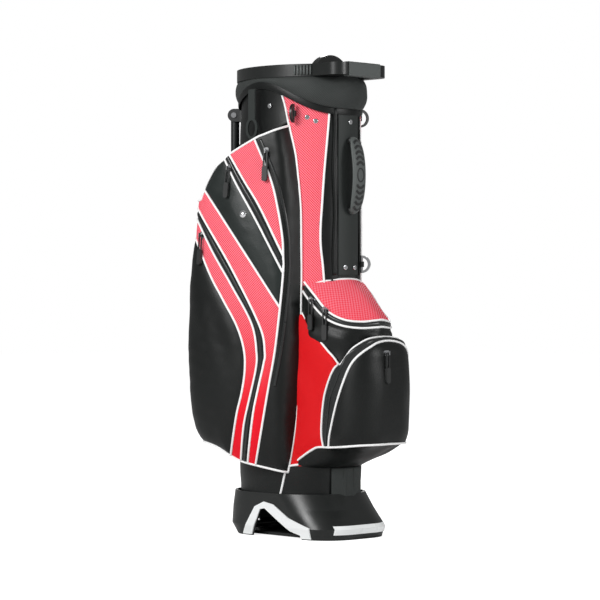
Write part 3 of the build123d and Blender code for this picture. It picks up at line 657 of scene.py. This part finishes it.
# %% Pillowed panels
seam_shares = {name: seam_line(points) for name, points in POCKET_SEAMS.items()}
seam_3d = {name: pocket_skin(t, z) for name, (t, z) in seam_shares.items()}
rim_3d = [pocket_skin(share, rim_top), pocket_skin(share, rim_low)]
distance = seam_distance(flat_skin, list(seam_3d.values()) + rim_3d)
PUFF = {0: 0.0050, 1: 0.0016, 2: 0.0008, 3: 0.0022, 4: 0.0030, 5: 0.0008, 6: 0.0022, 7: 0.0026}
puff = np.choose(region, [PUFF[k] for k in range(8)])
swell = puff * (1 - np.exp(-distance / 0.012))
arc = wrap_mm * MM
creases = waves(arc * 1.6 + 0.5 * grid_z, grid_z * 0.55, 3, size=0.13)
fine = waves(arc, grid_z, 5, size=0.045)
slack = 1 - np.exp(-distance / 0.02)
relief = swell + slack * (0.0011 * creases + 0.00035 * fine)
normal = grid_normals(flat_skin)
normal *= np.sign(np.sum(normal * flat_skin * (1, 1, 0), axis=-1).mean())
skin = flat_skin + normal * relief[..., None]
run_u = run_along(flat_skin[ROWS // 2])
cloth_uv = np.stack([np.broadcast_to(run_u, grid_z.shape), grid_z], axis=-1)

# %% Panels, one object for each cloth
PANEL_CLOTH = {
    "side_panel": ((0,), BLACK), "red_stripes": ((1, 3, 6), RED_WEAVE), "zip_bands": ((2, 5), ZIP_TAPE),
    "charcoal_panel": ((4,), CHARCOAL), "gusset": ((7,), BLACK)}
quads = grid_faces(ROWS, COLS)
cell_region = np.median(region.ravel()[quads], axis=1).astype(int)


def used_only(points, faces, uv):
    """Drops the points that no face uses."""
    used, renumbered = np.unique(faces, return_inverse=True)
    return points.reshape(-1, 3)[used], renumbered.reshape(faces.shape), uv.reshape(-1, 2)[used]


near_pieces = []
for label, (regions, cloth) in PANEL_CLOTH.items():
    mine = quads[np.isin(cell_region, regions)]
    p, f, uv = used_only(skin, mine, cloth_uv)
    near_pieces.append(make_object(f"apparel_{label}_near", p, f[:, ::-1], cloth, uv))


def lifted(t, z, lift):
    """Point and outward normal standing lift above the pocket's surface."""
    e = 0.002
    p = pocket_skin(t, z)
    du = pocket_skin(np.clip(t + e, 0, 1), z) - pocket_skin(np.clip(t - e, 0, 1), z)
    dz = pocket_skin(t, z + e) - pocket_skin(t, z - e)
    n = np.cross(dz, du)
    n /= np.linalg.norm(n, axis=-1, keepdims=True)
    n *= np.sign(np.sum(n[..., :2] * p[..., :2], axis=-1, keepdims=True))
    return p + lift * n, n


for name, (t, z) in seam_shares.items():
    line, out = lifted(t, z, 0.0004)
    picked = out[np.linspace(0, len(out) - 1, 150).astype(int)]
    near_pieces.append(piping(f"apparel_piping_{name}_near", even_line(line, 150), picked))
for label, z_rim in (("top", rim_top), ("low", rim_low)):
    line, out = lifted(share, z_rim, 0.0004)
    near_pieces.append(piping(f"apparel_piping_{label}_near", line, out))

front_z = np.linspace(rim_low[0], rim_top[0], 160)
line, out = lifted(np.full(160, 0.004), front_z, 0.0012)
near_pieces.append(piping("apparel_piping_front_near", line, out))


def pocket_cap(name, z_rim, rise):
    """Closes the pocket's top or bottom from its rim to the tube, which it meets a little further on."""
    rim = pocket_skin(share, z_rim)
    feet = np.degrees(np.arctan2(rim[:, 1] / TUBE_B, rim[:, 0] / TUBE_A))
    inner = oval(feet, z_rim + rise, -0.002)
    mix = np.linspace(0, 1, 14)[:, None, None]
    cap = rim[None] * (1 - mix) + inner[None] * mix
    faces = grid_faces(14, COLS)
    return make_object(name, cap, faces if rise < 0 else faces[:, ::-1], BLACK, cap[..., :2])


near_pieces.append(pocket_cap("apparel_top_near", rim_top, 0.010))
near_pieces.append(pocket_cap("apparel_under_near", rim_low, -0.006))

# %% [markdown]
# The far pocket is the near one's twin, flattened at its front, and the CAD solids hand over to both.

# %% Far pocket
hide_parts("apparel_pocket_near")
far_pieces = [mirror_to_far(obj, obj.name.replace("_near", "_far")) for obj in near_pieces]
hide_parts("apparel_pocket_far")

# %% [markdown]
# The tube is one closed oval wall cut into panels by its seams. Their angles come from short lists of
# (height, angle). Between two seams the cloth swells a little, and stays tight along the piping.

# %% Tube wall
SEAM_M_LIST = ((829, 74), (800, 70), (780, 67), (745, 63), (697, 57.5), (615, 53), (540, 52), (440, 52), (300, 58),
               (150, 64.5), (120, 66.5), (76, 72))
SEAM_N_LIST = ((829, 21), (770, 24), (675, 29), (613, 31.5), (540, 33.5), (465, 30), (300, 26), (76, 22))
SEAM_S_LIST = ((829, 12.5), (480, 12.5), (76, 14))
SEAM_L_LIST = ((829, 140), (480, 140), (76, 140))


def seam_angle(seam, height):
    """Oval angle of a seam at a height in metres."""
    line = smooth_line(np.array(seam, float), 200)[::-1]
    return np.interp(height / MM, line[:, 0], line[:, 1])


def welt_height(angle):
    """Height of the welt under the cuff: 785 - 10 cos + 40 sin^4, in mm, swept up at the sides."""
    a = np.radians(angle)
    return MM * (785 - 10 * np.cos(a) + 40 * np.sin(a)**4)


def throat(angle, height):
    """Growth of the tube's oval: drawn in by 3 mm at the throat under the cuff and at the foot."""
    return -0.0030 * np.exp(-((height - 0.79) / 0.035)**2) - 0.002 * np.exp(-((height - 0.085) / 0.02)**2)


SIDES, LEVELS = 240, 250
angles = np.linspace(-180, 180, SIDES + 1)[:-1]
levels = np.linspace(TUBE_LOW - 0.004, TUBE_TOP, LEVELS)
tube_angle, tube_height = np.meshgrid(angles, levels)
side = np.abs(tube_angle)
marks = [seam_angle(s, tube_height) for s in (SEAM_S_LIST, SEAM_N_LIST, SEAM_M_LIST, SEAM_L_LIST)]
zone = sum((side > mark).astype(int) for mark in marks)
tube_seams = []
for seam in (SEAM_S_LIST, SEAM_N_LIST, SEAM_M_LIST, SEAM_L_LIST):
    for hand in (-1, 1):
        tube_seams.append(oval(hand * seam_angle(seam, levels), levels))
wall = oval(tube_angle, tube_height, throat(tube_angle, tube_height))
reach = seam_distance(wall, tube_seams)
ZONE_PUFF = np.array([0.0004, 0.0018, 0.0016, 0.0016, 0.001])
soft = waves(np.radians(tube_angle) * 0.11 * 1.4, tube_height * 0.4, 11, size=0.16)
tube_relief = ZONE_PUFF[zone] * (1 - np.exp(-reach / 0.010)) + 0.0008 * soft * (1 - np.exp(-reach / 0.02))
tube_points = wall + oval_out(tube_angle) * tube_relief[..., None]
tube_uv = np.stack([np.radians(tube_angle) * 0.111, tube_height], axis=-1)
tube_quads = grid_faces(LEVELS, SIDES, wrap=True)
cell_zone = np.median(zone.ravel()[tube_quads], axis=1).astype(int)
cell_height = tube_height.ravel()[tube_quads].mean(axis=1)
cell_angle = tube_angle.ravel()[tube_quads]
cell_near = cell_angle.mean(axis=1) < 0

LID_LINE = 0.455
FOOT_LINE = 0.131
red_low = (cell_zone == 2) & (cell_height <= LID_LINE) & (cell_height > FOOT_LINE)
black_foot = (cell_zone == 2) & (cell_height <= FOOT_LINE)
TUBE_CLOTHS = {
    "spine_cloth": (cell_zone == 0, WEBBING, "spine_panel"),
    "front_leatherette": ((cell_zone == 1) | black_foot, BLACK, None),
    "mesh_weave_near": ((cell_zone == 2) & cell_near & (cell_height > LID_LINE), RED_WEAVE, "mesh_panel_near"),
    "mesh_weave_far": ((cell_zone == 2) & ~cell_near & (cell_height > LID_LINE), RED_WEAVE, "mesh_panel_far"),
    "red_cloth_panels": (red_low, RED, None),
    "side_leatherette_near": ((cell_zone == 3) & cell_near, BLACK, "side_panel_near"),
    "side_leatherette_far": ((cell_zone == 3) & ~cell_near, BLACK, "side_panel_far"),
    "leg_side_leatherette": (cell_zone == 4, BLACK, "leg_side_panel"),
}
for label, (chosen, cloth, node) in TUBE_CLOTHS.items():
    p, f, uv = used_only(tube_points, tube_quads[chosen], tube_uv)
    piece = make_object(label, p, f, cloth, uv)
    if node:
        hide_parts(node)

for label, seam, low, high in (("m", SEAM_M_LIST, 0.076, 0.800), ("n", SEAM_N_LIST, 0.455, 0.778)):
    z = np.linspace(low, high, 160)
    for hand, word in ((-1, "near"), (1, "far")):
        a = hand * seam_angle(seam, z)
        piping(f"tube_piping_{label}_{word}", oval(a, z, throat(a, z) + 0.0004), oval_out(a))

inner_quads = tube_quads[:, ::-1]
make_object("tube_lining", oval(tube_angle, tube_height, -0.0028), inner_quads, BLACK, tube_uv)

# %% [markdown]
# The cuff is a padded sleeve of black air mesh under the rigid ring. It swells most at its middle
# height, and a leatherette welt closes its lower edge.

# %% Cuff and welt
CUFF_TOP = 0.8345
cuff_angle = np.linspace(-180, 180, 181)[:-1]
cuff_rise = np.linspace(0, 1, 34)[:, None]
cuff_low = welt_height(cuff_angle)
cuff_z = cuff_low + cuff_rise * (CUFF_TOP - cuff_low)
cuff_grid = np.broadcast_to(cuff_angle, cuff_z.shape)
belly = np.sin(np.pi * np.clip(0.06 + 0.94 * cuff_rise, 0, 1))**0.55
tall = (CUFF_TOP - cuff_low) / 0.05
cuff_grow = 0.0010 + 0.0112 * belly * np.clip(tall, 0.35, 1.1)
cuff_grow = cuff_grow + 0.0007 * waves(np.radians(cuff_grid) * 0.12, cuff_z, 21, size=0.05) * belly
cuff_outer = oval(cuff_grid, cuff_z, cuff_grow)
BACK_ROWS = 5
cuff_back = cuff_low + np.linspace(1, 0, BACK_ROWS)[:, None] * (CUFF_TOP - cuff_low)
cuff_points = np.concatenate([cuff_outer, oval(np.broadcast_to(cuff_angle, cuff_back.shape), cuff_back, 0.0003)])
cuff_points = np.concatenate([cuff_points, cuff_points[:1]])
cuff_rows = len(cuff_points)
cuff_round = np.broadcast_to(np.radians(cuff_angle) * 0.115, cuff_points.shape[:2])
cuff_uv = np.stack([cuff_round, cuff_points[..., 2]], -1)
cuff_quads = grid_faces(cuff_rows, len(cuff_angle), wrap=True) % ((cuff_rows - 1) * len(cuff_angle))
cuff = make_object("padded_mesh_cuff", cuff_points[:-1], cuff_quads, AIR_MESH, cuff_uv[:-1])
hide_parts("collar_cuff")
welt_path = oval(cuff_angle, welt_height(cuff_angle) - 0.005, 0.0012)
profile_along("cuff_welt", welt_path, oval_out(cuff_angle), flat_profile(0.013, 0.0026), BLACK, closed=True)

# %% [markdown]
# The hard parts stay as the CAD made them. Each gets its finish here.

# %% Finishes of the hard parts
NODE_FINISH = {
    "base_shell": PLASTIC, "base_keel": PLASTIC, "base_trims": SILVER, "foot_plate": PLASTIC, "rivets": CHROME,
    "foot_plate_pin": STEEL, "tube_stays": FIBREGLASS, "top_ring": PLASTIC, "front_grip": RUBBER,
    "divider_rim": PLASTIC, "club_divider": PLASTIC, "spine_strap": WEBBING, "carry_grip": RUBBER,
    "leg_bracket": PLASTIC, "leg_pivot_pins": CHROME, "rod_guides": PLASTIC, "d_ring_tabs": BLACK,
    "push_rod": STEEL, "crosshead": PLASTIC, "d_ring_near": PLASTIC, "d_ring_far": PLASTIC, "lower_d_ring": CHROME,
    "towel_loop": WEBBING, "lid_pocket": RED_WEAVE, "ball_pocket": BLACK}
for hand in ("near", "far"):
    NODE_FINISH.update({f"leg_hub_{hand}": PLASTIC, f"leg_tube_{hand}": ANODISED, f"leg_foot_{hand}": BLACK_RUBBER,
                        f"link_{hand}": PLASTIC})
for node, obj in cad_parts.items():
    finish = NODE_FINISH.get(node, CHROME if node.startswith("slider") else BLACK_RUBBER)
    obj.data.materials.clear()
    obj.data.materials.append(finish)

# %% [markdown]
# The ball pocket is a round-fronted box. Its wall has two parameters: the distance a along its plan
# outline, 0 at the front centre and negative towards the near side, and the height. Its upper edge dips
# to a V on each side, where the seam of the side panel meets the arched zip.

# %% Ball pocket outline
FRONT_FLAT = 0.020
CORNER = 0.060
FRONT_X = 0.228
SIDE_RUN = 0.108


def box_plan(a):
    """Plan point of the ball pocket's wall at a signed distance from its front centre."""
    d = np.abs(a)
    turn = np.clip((d - FRONT_FLAT) / CORNER, 0, np.pi / 2)
    straight = np.maximum(d - FRONT_FLAT - CORNER * np.pi / 2, 0)
    x = FRONT_X - CORNER + CORNER * np.cos(turn) - straight
    y = np.minimum(d, FRONT_FLAT) + CORNER * np.sin(turn) - 0.02 * np.clip(straight / SIDE_RUN - 1.2, 0, 1)
    return np.stack([x, np.sign(a) * y], axis=-1)


def box_out(a):
    """Plan normal of the ball pocket's wall."""
    turn = np.clip((np.abs(a) - FRONT_FLAT) / CORNER, 0, np.pi / 2)
    return np.stack([np.cos(turn), np.sign(a) * np.sin(turn)], axis=-1)


BOX_REACH = FRONT_FLAT + CORNER * np.pi / 2 + SIDE_RUN
BOX_TOP = ((0, 364), (20, 363), (50, 359), (81, 344), (98, 326), (110, 315), (124, 328), (139, 341), (164, 364),
           (184, 386), (200, 405), (224, 428))
BOX_LOW = ((0, 174), (60, 173), (100, 170), (130, 168), (160, 167), (178, 160), (200, 148), (224, 133))
INNER_ARCH = ((357.5, 0), (357, 10), (355, 24), (351, 38), (338, 61), (319, 80), (286, 95.5), (222, 118),
              (166, 134))
OUTER_ARCH = ((317, 110), (293, 126), (256, 141), (204, 147.6), (166, 146))


def table(points, x, axis=0):
    """Reads a smooth curve through given (x, y) pairs; all in millimetres, answered in metres."""
    line = smooth_line(np.array(points, float), 400)
    order = np.argsort(line[:, 0])
    return MM * np.interp(np.abs(x) / MM, line[order, 0], line[order, 1])


def box_skin(a, z):
    """Wall point: the plan outline drawn in over the shoulder as q = (top - z) / reach falls below 1."""
    top = table(BOX_TOP, a)
    front = np.clip(1.25 - np.abs(a) / 0.11, 0, 1)
    reach = 0.010 + 0.026 * front
    inset = (0.005 + 0.013 * front) * (1 - np.sqrt(np.maximum(1 - (1 - np.clip((top - z) / reach, 0, 1))**2, 0)))
    low = table(BOX_LOW, a)
    belly = 0.004 * np.sin(np.pi * np.clip((z - low) / (top - low), 0, 1)) * front
    foot = 0.003 * np.exp(-((z - low) / 0.012)**2)
    shift = belly - inset - foot
    plan = box_plan(a) + box_out(a) * shift[..., None]
    return np.concatenate([plan, z[..., None]], axis=-1)


BOX_COLS, BOX_ROWS = 220, 130
run_a = np.linspace(-BOX_REACH, BOX_REACH, BOX_COLS)
box_low, box_high = table(BOX_LOW, run_a), table(BOX_TOP, run_a)
box_v = np.linspace(0, 1, BOX_ROWS)[:, None]
box_z = box_low + box_v * (box_high - box_low)
box_a = np.broadcast_to(run_a, box_z.shape)
box_flat = box_skin(box_a, box_z)
inner_a = table(INNER_ARCH, box_z)
outer_a = np.where(box_z > 0.317, 0.1105, table(OUTER_ARCH, box_z))
inner_a = np.where(box_z > 0.3575, 0.0, inner_a)
box_region = (np.abs(box_a) > inner_a).astype(int) + (np.abs(box_a) > outer_a)


def arch_line(points, hand, count=140):
    """Line of an arch's half on the wall, from its top to its foot."""
    line = smooth_line(np.array(points, float), count) * MM
    a = hand * line[:, 1]
    return box_skin(a, line[:, 0]), a


def plan_out3(a):
    """Plan normal with no rise."""
    n = box_out(a)
    return np.concatenate([n, np.zeros((*n.shape[:-1], 1))], axis=-1)


arch_near, arch_far = arch_line(INNER_ARCH, -1), arch_line(INNER_ARCH, 1)
outer_near, outer_far = arch_line(OUTER_ARCH, -1), arch_line(OUTER_ARCH, 1)
box_top_line = box_skin(run_a, box_high)
box_low_line = box_skin(run_a, box_low)
box_seams = [arch_near[0], arch_far[0], outer_near[0], outer_far[0], box_top_line, box_low_line]
box_gap = seam_distance(box_flat, box_seams)
box_puff = np.choose(box_region, [0.0026, 0.0004, 0.0020]) * (1 - np.exp(-box_gap / 0.014))
box_soft = 0.0009 * waves(box_a, box_z, 31, size=0.09) * (1 - np.exp(-box_gap / 0.02))
box_points = box_flat + plan_out3(box_a) * (box_puff + box_soft)[..., None]
box_uv = np.stack([box_a, box_z], axis=-1)
box_quads = grid_faces(BOX_ROWS, BOX_COLS)
box_cell = np.median(box_region.ravel()[box_quads], axis=1).astype(int)
for number, (label, cloth) in enumerate((("front_panel", BLACK), ("zip_band", ZIP_TAPE), ("red_sides", RED))):
    p, f, uv = used_only(box_points, box_quads[box_cell == number], box_uv)
    piece = make_object(f"ball_{label}", p, f, cloth, uv)
    if number == 0:
        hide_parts("ball_pocket")
for label, (line, a) in (("inner_near", arch_near), ("inner_far", arch_far), ("outer_near", outer_near),
                         ("outer_far", outer_far)):
    piping(f"ball_piping_{label}", line, plan_out3(a))
piping("ball_piping_top", box_top_line, plan_out3(run_a) + (0, 0, 0.6))
piping("ball_piping_low", box_low_line, plan_out3(run_a) - (0, 0, 0.5))

# %% [markdown]
# The ball pocket's underside runs from its lower edge in to the tube, and a ledge closes its top.

# %% Ball pocket underside and the ledge under the lid
tube_turn = np.interp(run_a, [-BOX_REACH, 0, BOX_REACH], [-66, 0, 66])
tube_foot = oval(tube_turn, 0.1265, -0.001)
for hand, word in ((-1, "near"), (1, "far")):
    turn = hand * np.linspace(54, 66, 24)
    piping(f"ball_piping_foot_{word}", oval(turn, np.linspace(0.1335, 0.1300, 24), 0.001), oval_out(turn))
mix = np.linspace(0, 1, 26)[:, None, None]
under = box_low_line[None] * (1 - mix) + tube_foot[None] * mix
under[..., 2] += 0.005 * np.sin(np.pi * mix[..., 0]) * waves(under[..., 1], under[..., 0], 41, size=0.10)
make_object("ball_underside", under, grid_faces(26, BOX_COLS)[:, ::-1], BLACK, under[..., :2])
mix = np.linspace(0, 1, 6)[:, None, None]
ledge = box_top_line[None] - mix * 0.030 * plan_out3(run_a)[None] - mix * np.array([0, 0, 0.004])
make_object("ball_top_ledge", ledge, grid_faces(6, BOX_COLS), BLACK, ledge[..., :2])

# %% [markdown]
# The lid pocket stands on the ball pocket. Four curves describe it, all sharing the same plan: the foot
# of its wall, the lower edge of the zip band, the edge of the lid, and the lid's hinge on the tube.

# %% Lid pocket
LID_HALF = np.array([
    (80, -71, 463, 447), (96, -75, 452, 434), (112, -75.5, 438, 419), (140, -71, 410, 396), (168, -59, 395, 384),
    (190, -38, 391, 380), (202, -14, 393, 381)])
LID_POINTS = np.vstack([LID_HALF, [(205, 0, 394, 382)], LID_HALF[::-1] * (1, -1, 1, 1)])
lid_curve = smooth_line(LID_POINTS, 200) * MM
lid_plan = lid_curve[:, :2]
turned = np.gradient(lid_plan, axis=0)
lid_out = np.stack([turned[:, 1], -turned[:, 0], 0 * turned[:, 0]], axis=-1)
lid_out /= np.linalg.norm(lid_out, axis=1, keepdims=True)
lid_edge = np.column_stack([lid_plan, lid_curve[:, 2]]) - 0.001 * lid_out
band_edge = np.column_stack([lid_plan, lid_curve[:, 3]]) + 0.0015 * lid_out
wall_foot = np.column_stack([lid_plan, np.full(len(lid_plan), 0.300)]) + 0.001 * lid_out
hinge_turn = np.linspace(-45, 45, len(lid_curve))
hinge = oval(hinge_turn, 0.468 - 0.010 * (np.abs(hinge_turn) / 45)**2, -0.001)
lid_run = run_along(lid_plan)


def between(low, high, rows):
    """Straight ruled grid from one curve to another."""
    mix = np.linspace(0, 1, rows)[:, None, None]
    return low[None] * (1 - mix) + high[None] * mix


wall_rows = 50
lid_wall = between(wall_foot, band_edge, wall_rows)
depth = (lid_wall[..., 2] - 0.3) / 0.09
sag = waves(lid_run[None] * 1.0 + 0.6 * lid_wall[..., 2], lid_wall[..., 2] * 1.5, 51, size=0.06)
fade = np.clip(np.linspace(1, 0, wall_rows)[:, None] / 0.12, 0, 1)
lid_wall = lid_wall + lid_out[None] * ((0.0022 * sag + 0.002) * fade)[..., None]
lid_uv = np.stack([np.broadcast_to(lid_run, depth.shape), lid_wall[..., 2]], axis=-1)
make_object("lid_pocket_wall", lid_wall, grid_faces(wall_rows, len(lid_run)), BLACK, lid_uv)

band = between(band_edge, lid_edge, 8)
band_uv = np.stack([np.broadcast_to(lid_run, band.shape[:2]), band[..., 2]], axis=-1)
make_object("lid_zip_band", band, grid_faces(8, len(lid_run)), ZIP_TAPE, band_uv)

top_rows = 40
lid_top = between(lid_edge, hinge, top_rows)
dome = np.sin(np.pi * np.linspace(0, 1, top_rows)[:, None])**0.8
lid_top[..., 2] += 0.006 * dome + 0.0012 * dome * waves(lid_top[..., 1], lid_top[..., 0], 61, size=0.07)
lid_top_uv = np.stack([lid_top[..., 1], lid_top[..., 0] * 1.3], axis=-1)
lid_piece = make_object("lid_top_weave", lid_top, grid_faces(top_rows, len(lid_run)), RED_WEAVE, lid_top_uv)
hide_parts("lid_pocket")
piping("lid_piping_upper", lid_edge, lid_out + (0, 0, 0.7))
piping("lid_piping_lower", band_edge, lid_out)
piping("lid_piping_hinge", hinge, oval_out(hinge_turn) + (0, 0, 0.4))

# %% [markdown]
# Every zip shows as a closed coil: a low ribbed band along the middle of its tape.

# %% Zip coils
COIL = 0.0046


def zip_coil(name, line, outward, lift=0.0):
    """Raised coil along a line."""
    return profile_along(name, line, outward, flat_profile(COIL, 0.0018, lift), ZIP_TEETH, "bag")


zip_coil("lid_coil", 0.5 * (lid_edge + band_edge), lid_out)
MID_ARCH = ((362, 0), (361, 14), (356, 42), (344, 70), (328, 92), (305, 104), (286, 112), (256, 127), (222, 133),
            (168, 140))
for hand, word in ((-1, "near"), (1, "far")):
    line, a = arch_line(MID_ARCH, hand)
    zip_coil(f"ball_coil_{word}", line, plan_out3(a))


def middle_of(first, second, count=160):
    """Line half-way between two seams given as (wrap, height) lists."""
    one, two = (smooth_line(np.array(POCKET_SEAMS[n], float), count) for n in (first, second))
    return 0.5 * (one + two)


for label, pair in (("low", ("zip_low", "stripe_high")), ("high", ("zip_high_rear", "zip_high_front"))):
    line, out = lifted(*seam_line(middle_of(*pair)), 0.0006)
    coil = zip_coil(f"apparel_coil_{label}_near", line, out)
    mirror_to_far(coil, f"apparel_coil_{label}_far")

gusset_zip = np.array(POCKET_SEAMS["corner"][1:10], float) + (15.0, 0.0)
line, out = lifted(*seam_line(gusset_zip), 0.0008)
coil = zip_coil("apparel_coil_gusset_near", line, out, 0.001)
mirror_to_far(coil, "apparel_coil_gusset_far")

# %% [markdown]
# A snap closes the charcoal panel: a domed chrome cap on a flat ring, turned about the cloth's normal.

# %% Snap
SNAP_WRAP, SNAP_HEIGHT = -0.144, 0.585
CAP = np.array([(0, 0.0026), (0.0022, 0.0024), (0.0036, 0.0016), (0.0042, 0.0008), (0.0062, 0.0008), (0.0066, 0)])


def turned_cap(name, place, outward, section, material):
    """Turns a (radius, height) section about an outward axis."""
    outward = outward / np.linalg.norm(outward)
    side = np.cross(outward, (0, 0, 1.0))
    side /= np.linalg.norm(side)
    up = np.cross(side, outward)
    a = np.linspace(0, 2 * np.pi, 29)[:-1]
    ring = np.cos(a)[:, None] * side + np.sin(a)[:, None] * up
    points = place + section[:, None, :1] * ring[None] + section[:, None, 1:] * outward
    return make_object(name, points, grid_faces(len(section), len(a), wrap=True)[:, ::-1], material)


snap_t = share_at(np.array([SNAP_WRAP]), np.array([SNAP_HEIGHT]))
snap_place, snap_out = lifted(snap_t, np.array([SNAP_HEIGHT]), 0.003)
snap = turned_cap("snap_near", snap_place[0], snap_out[0], CAP, CHROME)
mirror_to_far(snap, "snap_far")

# %% [markdown]
# The carry grip is a bowed pad of grey rubber. It is widest at its middle and round at both ends:
# half-width w(s) = W (1 - |2s - 1|^5)^(1/2), bow b(s) = B sin(pi s)^(1/2). Chevrons point up above an
# oval ring and down below it.

# %% Carry grip
GRIP_LOW, GRIP_HIGH = (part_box("carry_grip")[k][2] for k in (0, 1))
GRIP_BACK, GRIP_BOW, GRIP_HALF, GRIP_THICK = 0.1285, 0.0185, 0.0160, 0.0040
s = np.linspace(0.002, 0.998, 90)
bow = GRIP_BACK + GRIP_THICK + GRIP_BOW * np.sin(np.pi * s)**0.5
half = GRIP_HALF * np.sqrt(1 - np.abs(2 * s - 1)**5)
a = np.linspace(0, 2 * np.pi, 33)[:-1]
grip = np.stack([
    bow[:, None] + GRIP_THICK * np.sign(np.cos(a)) * np.abs(np.cos(a))**0.7 * np.ones((90, 1)),
    half[:, None] * np.sin(a), (GRIP_LOW + s * (GRIP_HIGH - GRIP_LOW))[:, None] * np.ones(len(a))], axis=-1)
tips = np.array([grip[0].mean(axis=0), grip[-1].mean(axis=0)])
grip = np.concatenate([np.broadcast_to(tips[0], (1, 32, 3)), grip, np.broadcast_to(tips[1], (1, 32, 3))])
grip_body = make_object("carry_grip_pad", grip, grid_faces(92, 32, wrap=True), RUBBER, grip[..., 1:])
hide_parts("carry_grip")
for end in (0.0, 1.0):
    z = GRIP_LOW + end * (GRIP_HIGH - GRIP_LOW) + (0.007 if end == 0 else -0.007)
    line = np.array([(0.1265, 0, z), (0.1345, 0, z)])
    upward = np.tile([0, 0, 1.0], (2, 1))
    profile_along(f"grip_stud_{int(end)}", line, upward, round_profile(0.0055, 16), BLACK_RUBBER)


def on_grip(y, z):
    """Point on the grip's outer face."""
    t = (z - GRIP_LOW) / (GRIP_HIGH - GRIP_LOW)
    x = GRIP_BACK + 2 * GRIP_THICK + GRIP_BOW * np.sin(np.pi * t)**0.5
    return np.stack(np.broadcast_arrays(x, y, z), axis=-1)


RIB_STEP, RIB_REACH = 0.0098, 0.0088
GRIP_MID = 0.5 * (GRIP_LOW + GRIP_HIGH)
rib_y = np.linspace(-RIB_REACH, RIB_REACH, 15)
front = np.tile([1.0, 0, 0], (len(rib_y), 1))
for hand, word in ((1, "up"), (-1, "down")):
    for k in range(5):
        z = GRIP_MID + hand * (0.0180 + k * RIB_STEP + 0.0050 * (1 - (rib_y / RIB_REACH)**2))
        profile_along(f"grip_rib_{word}_{k}", on_grip(rib_y, z), front, flat_profile(0.0048, 0.0014, -0.0006),
                      BLACK_RUBBER)
turn = np.linspace(0, 2 * np.pi, 41)[:-1]
ring = on_grip(0.0080 * np.cos(turn), GRIP_MID + 0.0120 * np.sin(turn))
profile_along("grip_oval", ring, np.tile([1.0, 0, 0], (40, 1)), flat_profile(0.0022, 0.0014, -0.0006),
              BLACK_RUBBER, closed=True)

# %% [markdown]
# The rigid ring has a finger grip on each side of its front handle: upright ribs on its outer face.

# %% Ring ribs
ring_low, ring_high = 0.8355, 0.8525
RING_GROW = 0.0065
for k, turn_at in enumerate(np.linspace(32, 57, 10)):
    for hand, word in ((-1, "near"), (1, "far")):
        a = np.full(3, hand * turn_at)
        line = oval(a, np.linspace(ring_low, ring_high, 3), RING_GROW)
        profile_along(f"ring_rib_{k}_{word}", line, oval_out(a), flat_profile(0.0030, 0.0022, -0.0006), RUBBER)

# %% [markdown]
# Webbing also covers the front of the tube below the ball pocket, as three bands side by side. The
# leatherette beside the spine panel has one upright fold on each side.

# %% Lower webbing and the folds of the front panels
BAND_TURN = 14.0
strap_z = np.linspace(0.066, 0.127, 20)
for k, turn_at in enumerate((-BAND_TURN, 0.0, BAND_TURN)):
    line = oval(np.full(20, turn_at), strap_z, 0.0006)
    outward = oval_out(np.full(20, turn_at))
    profile_along(f"lower_webbing_{k}", line, outward, flat_profile(0.0310, 0.0022), WEBBING)
FOLD_TURN = 19.0
fold_z = np.linspace(0.475, 0.775, 60)
for hand, word in ((-1, "near"), (1, "far")):
    line = oval(hand * (FOLD_TURN + 0.8 * np.sin(fold_z * 40)), fold_z, 0.0012)
    outward = oval_out(hand * FOLD_TURN) * np.ones((60, 1))
    profile_along(f"front_fold_{word}", line, outward, flat_profile(0.007, 0.0028), BLACK)

# %% [markdown]
# The floor belongs to the stage, not to the bag.

# %% Floor
floor_mesh = bpy.data.meshes.new("studio_floor")
FLOOR_REACH = 12.0
floor_mesh.from_pydata([(-FLOOR_REACH, -FLOOR_REACH, 0), (FLOOR_REACH, -FLOOR_REACH, 0),
                        (FLOOR_REACH, FLOOR_REACH, 0), (-FLOOR_REACH, FLOOR_REACH, 0)], [], [(0, 1, 2, 3)])
floor_mesh.materials.append(FLOOR)
floor = bpy.data.objects.new("studio_floor", floor_mesh)
bpy.context.collection.objects.link(floor)
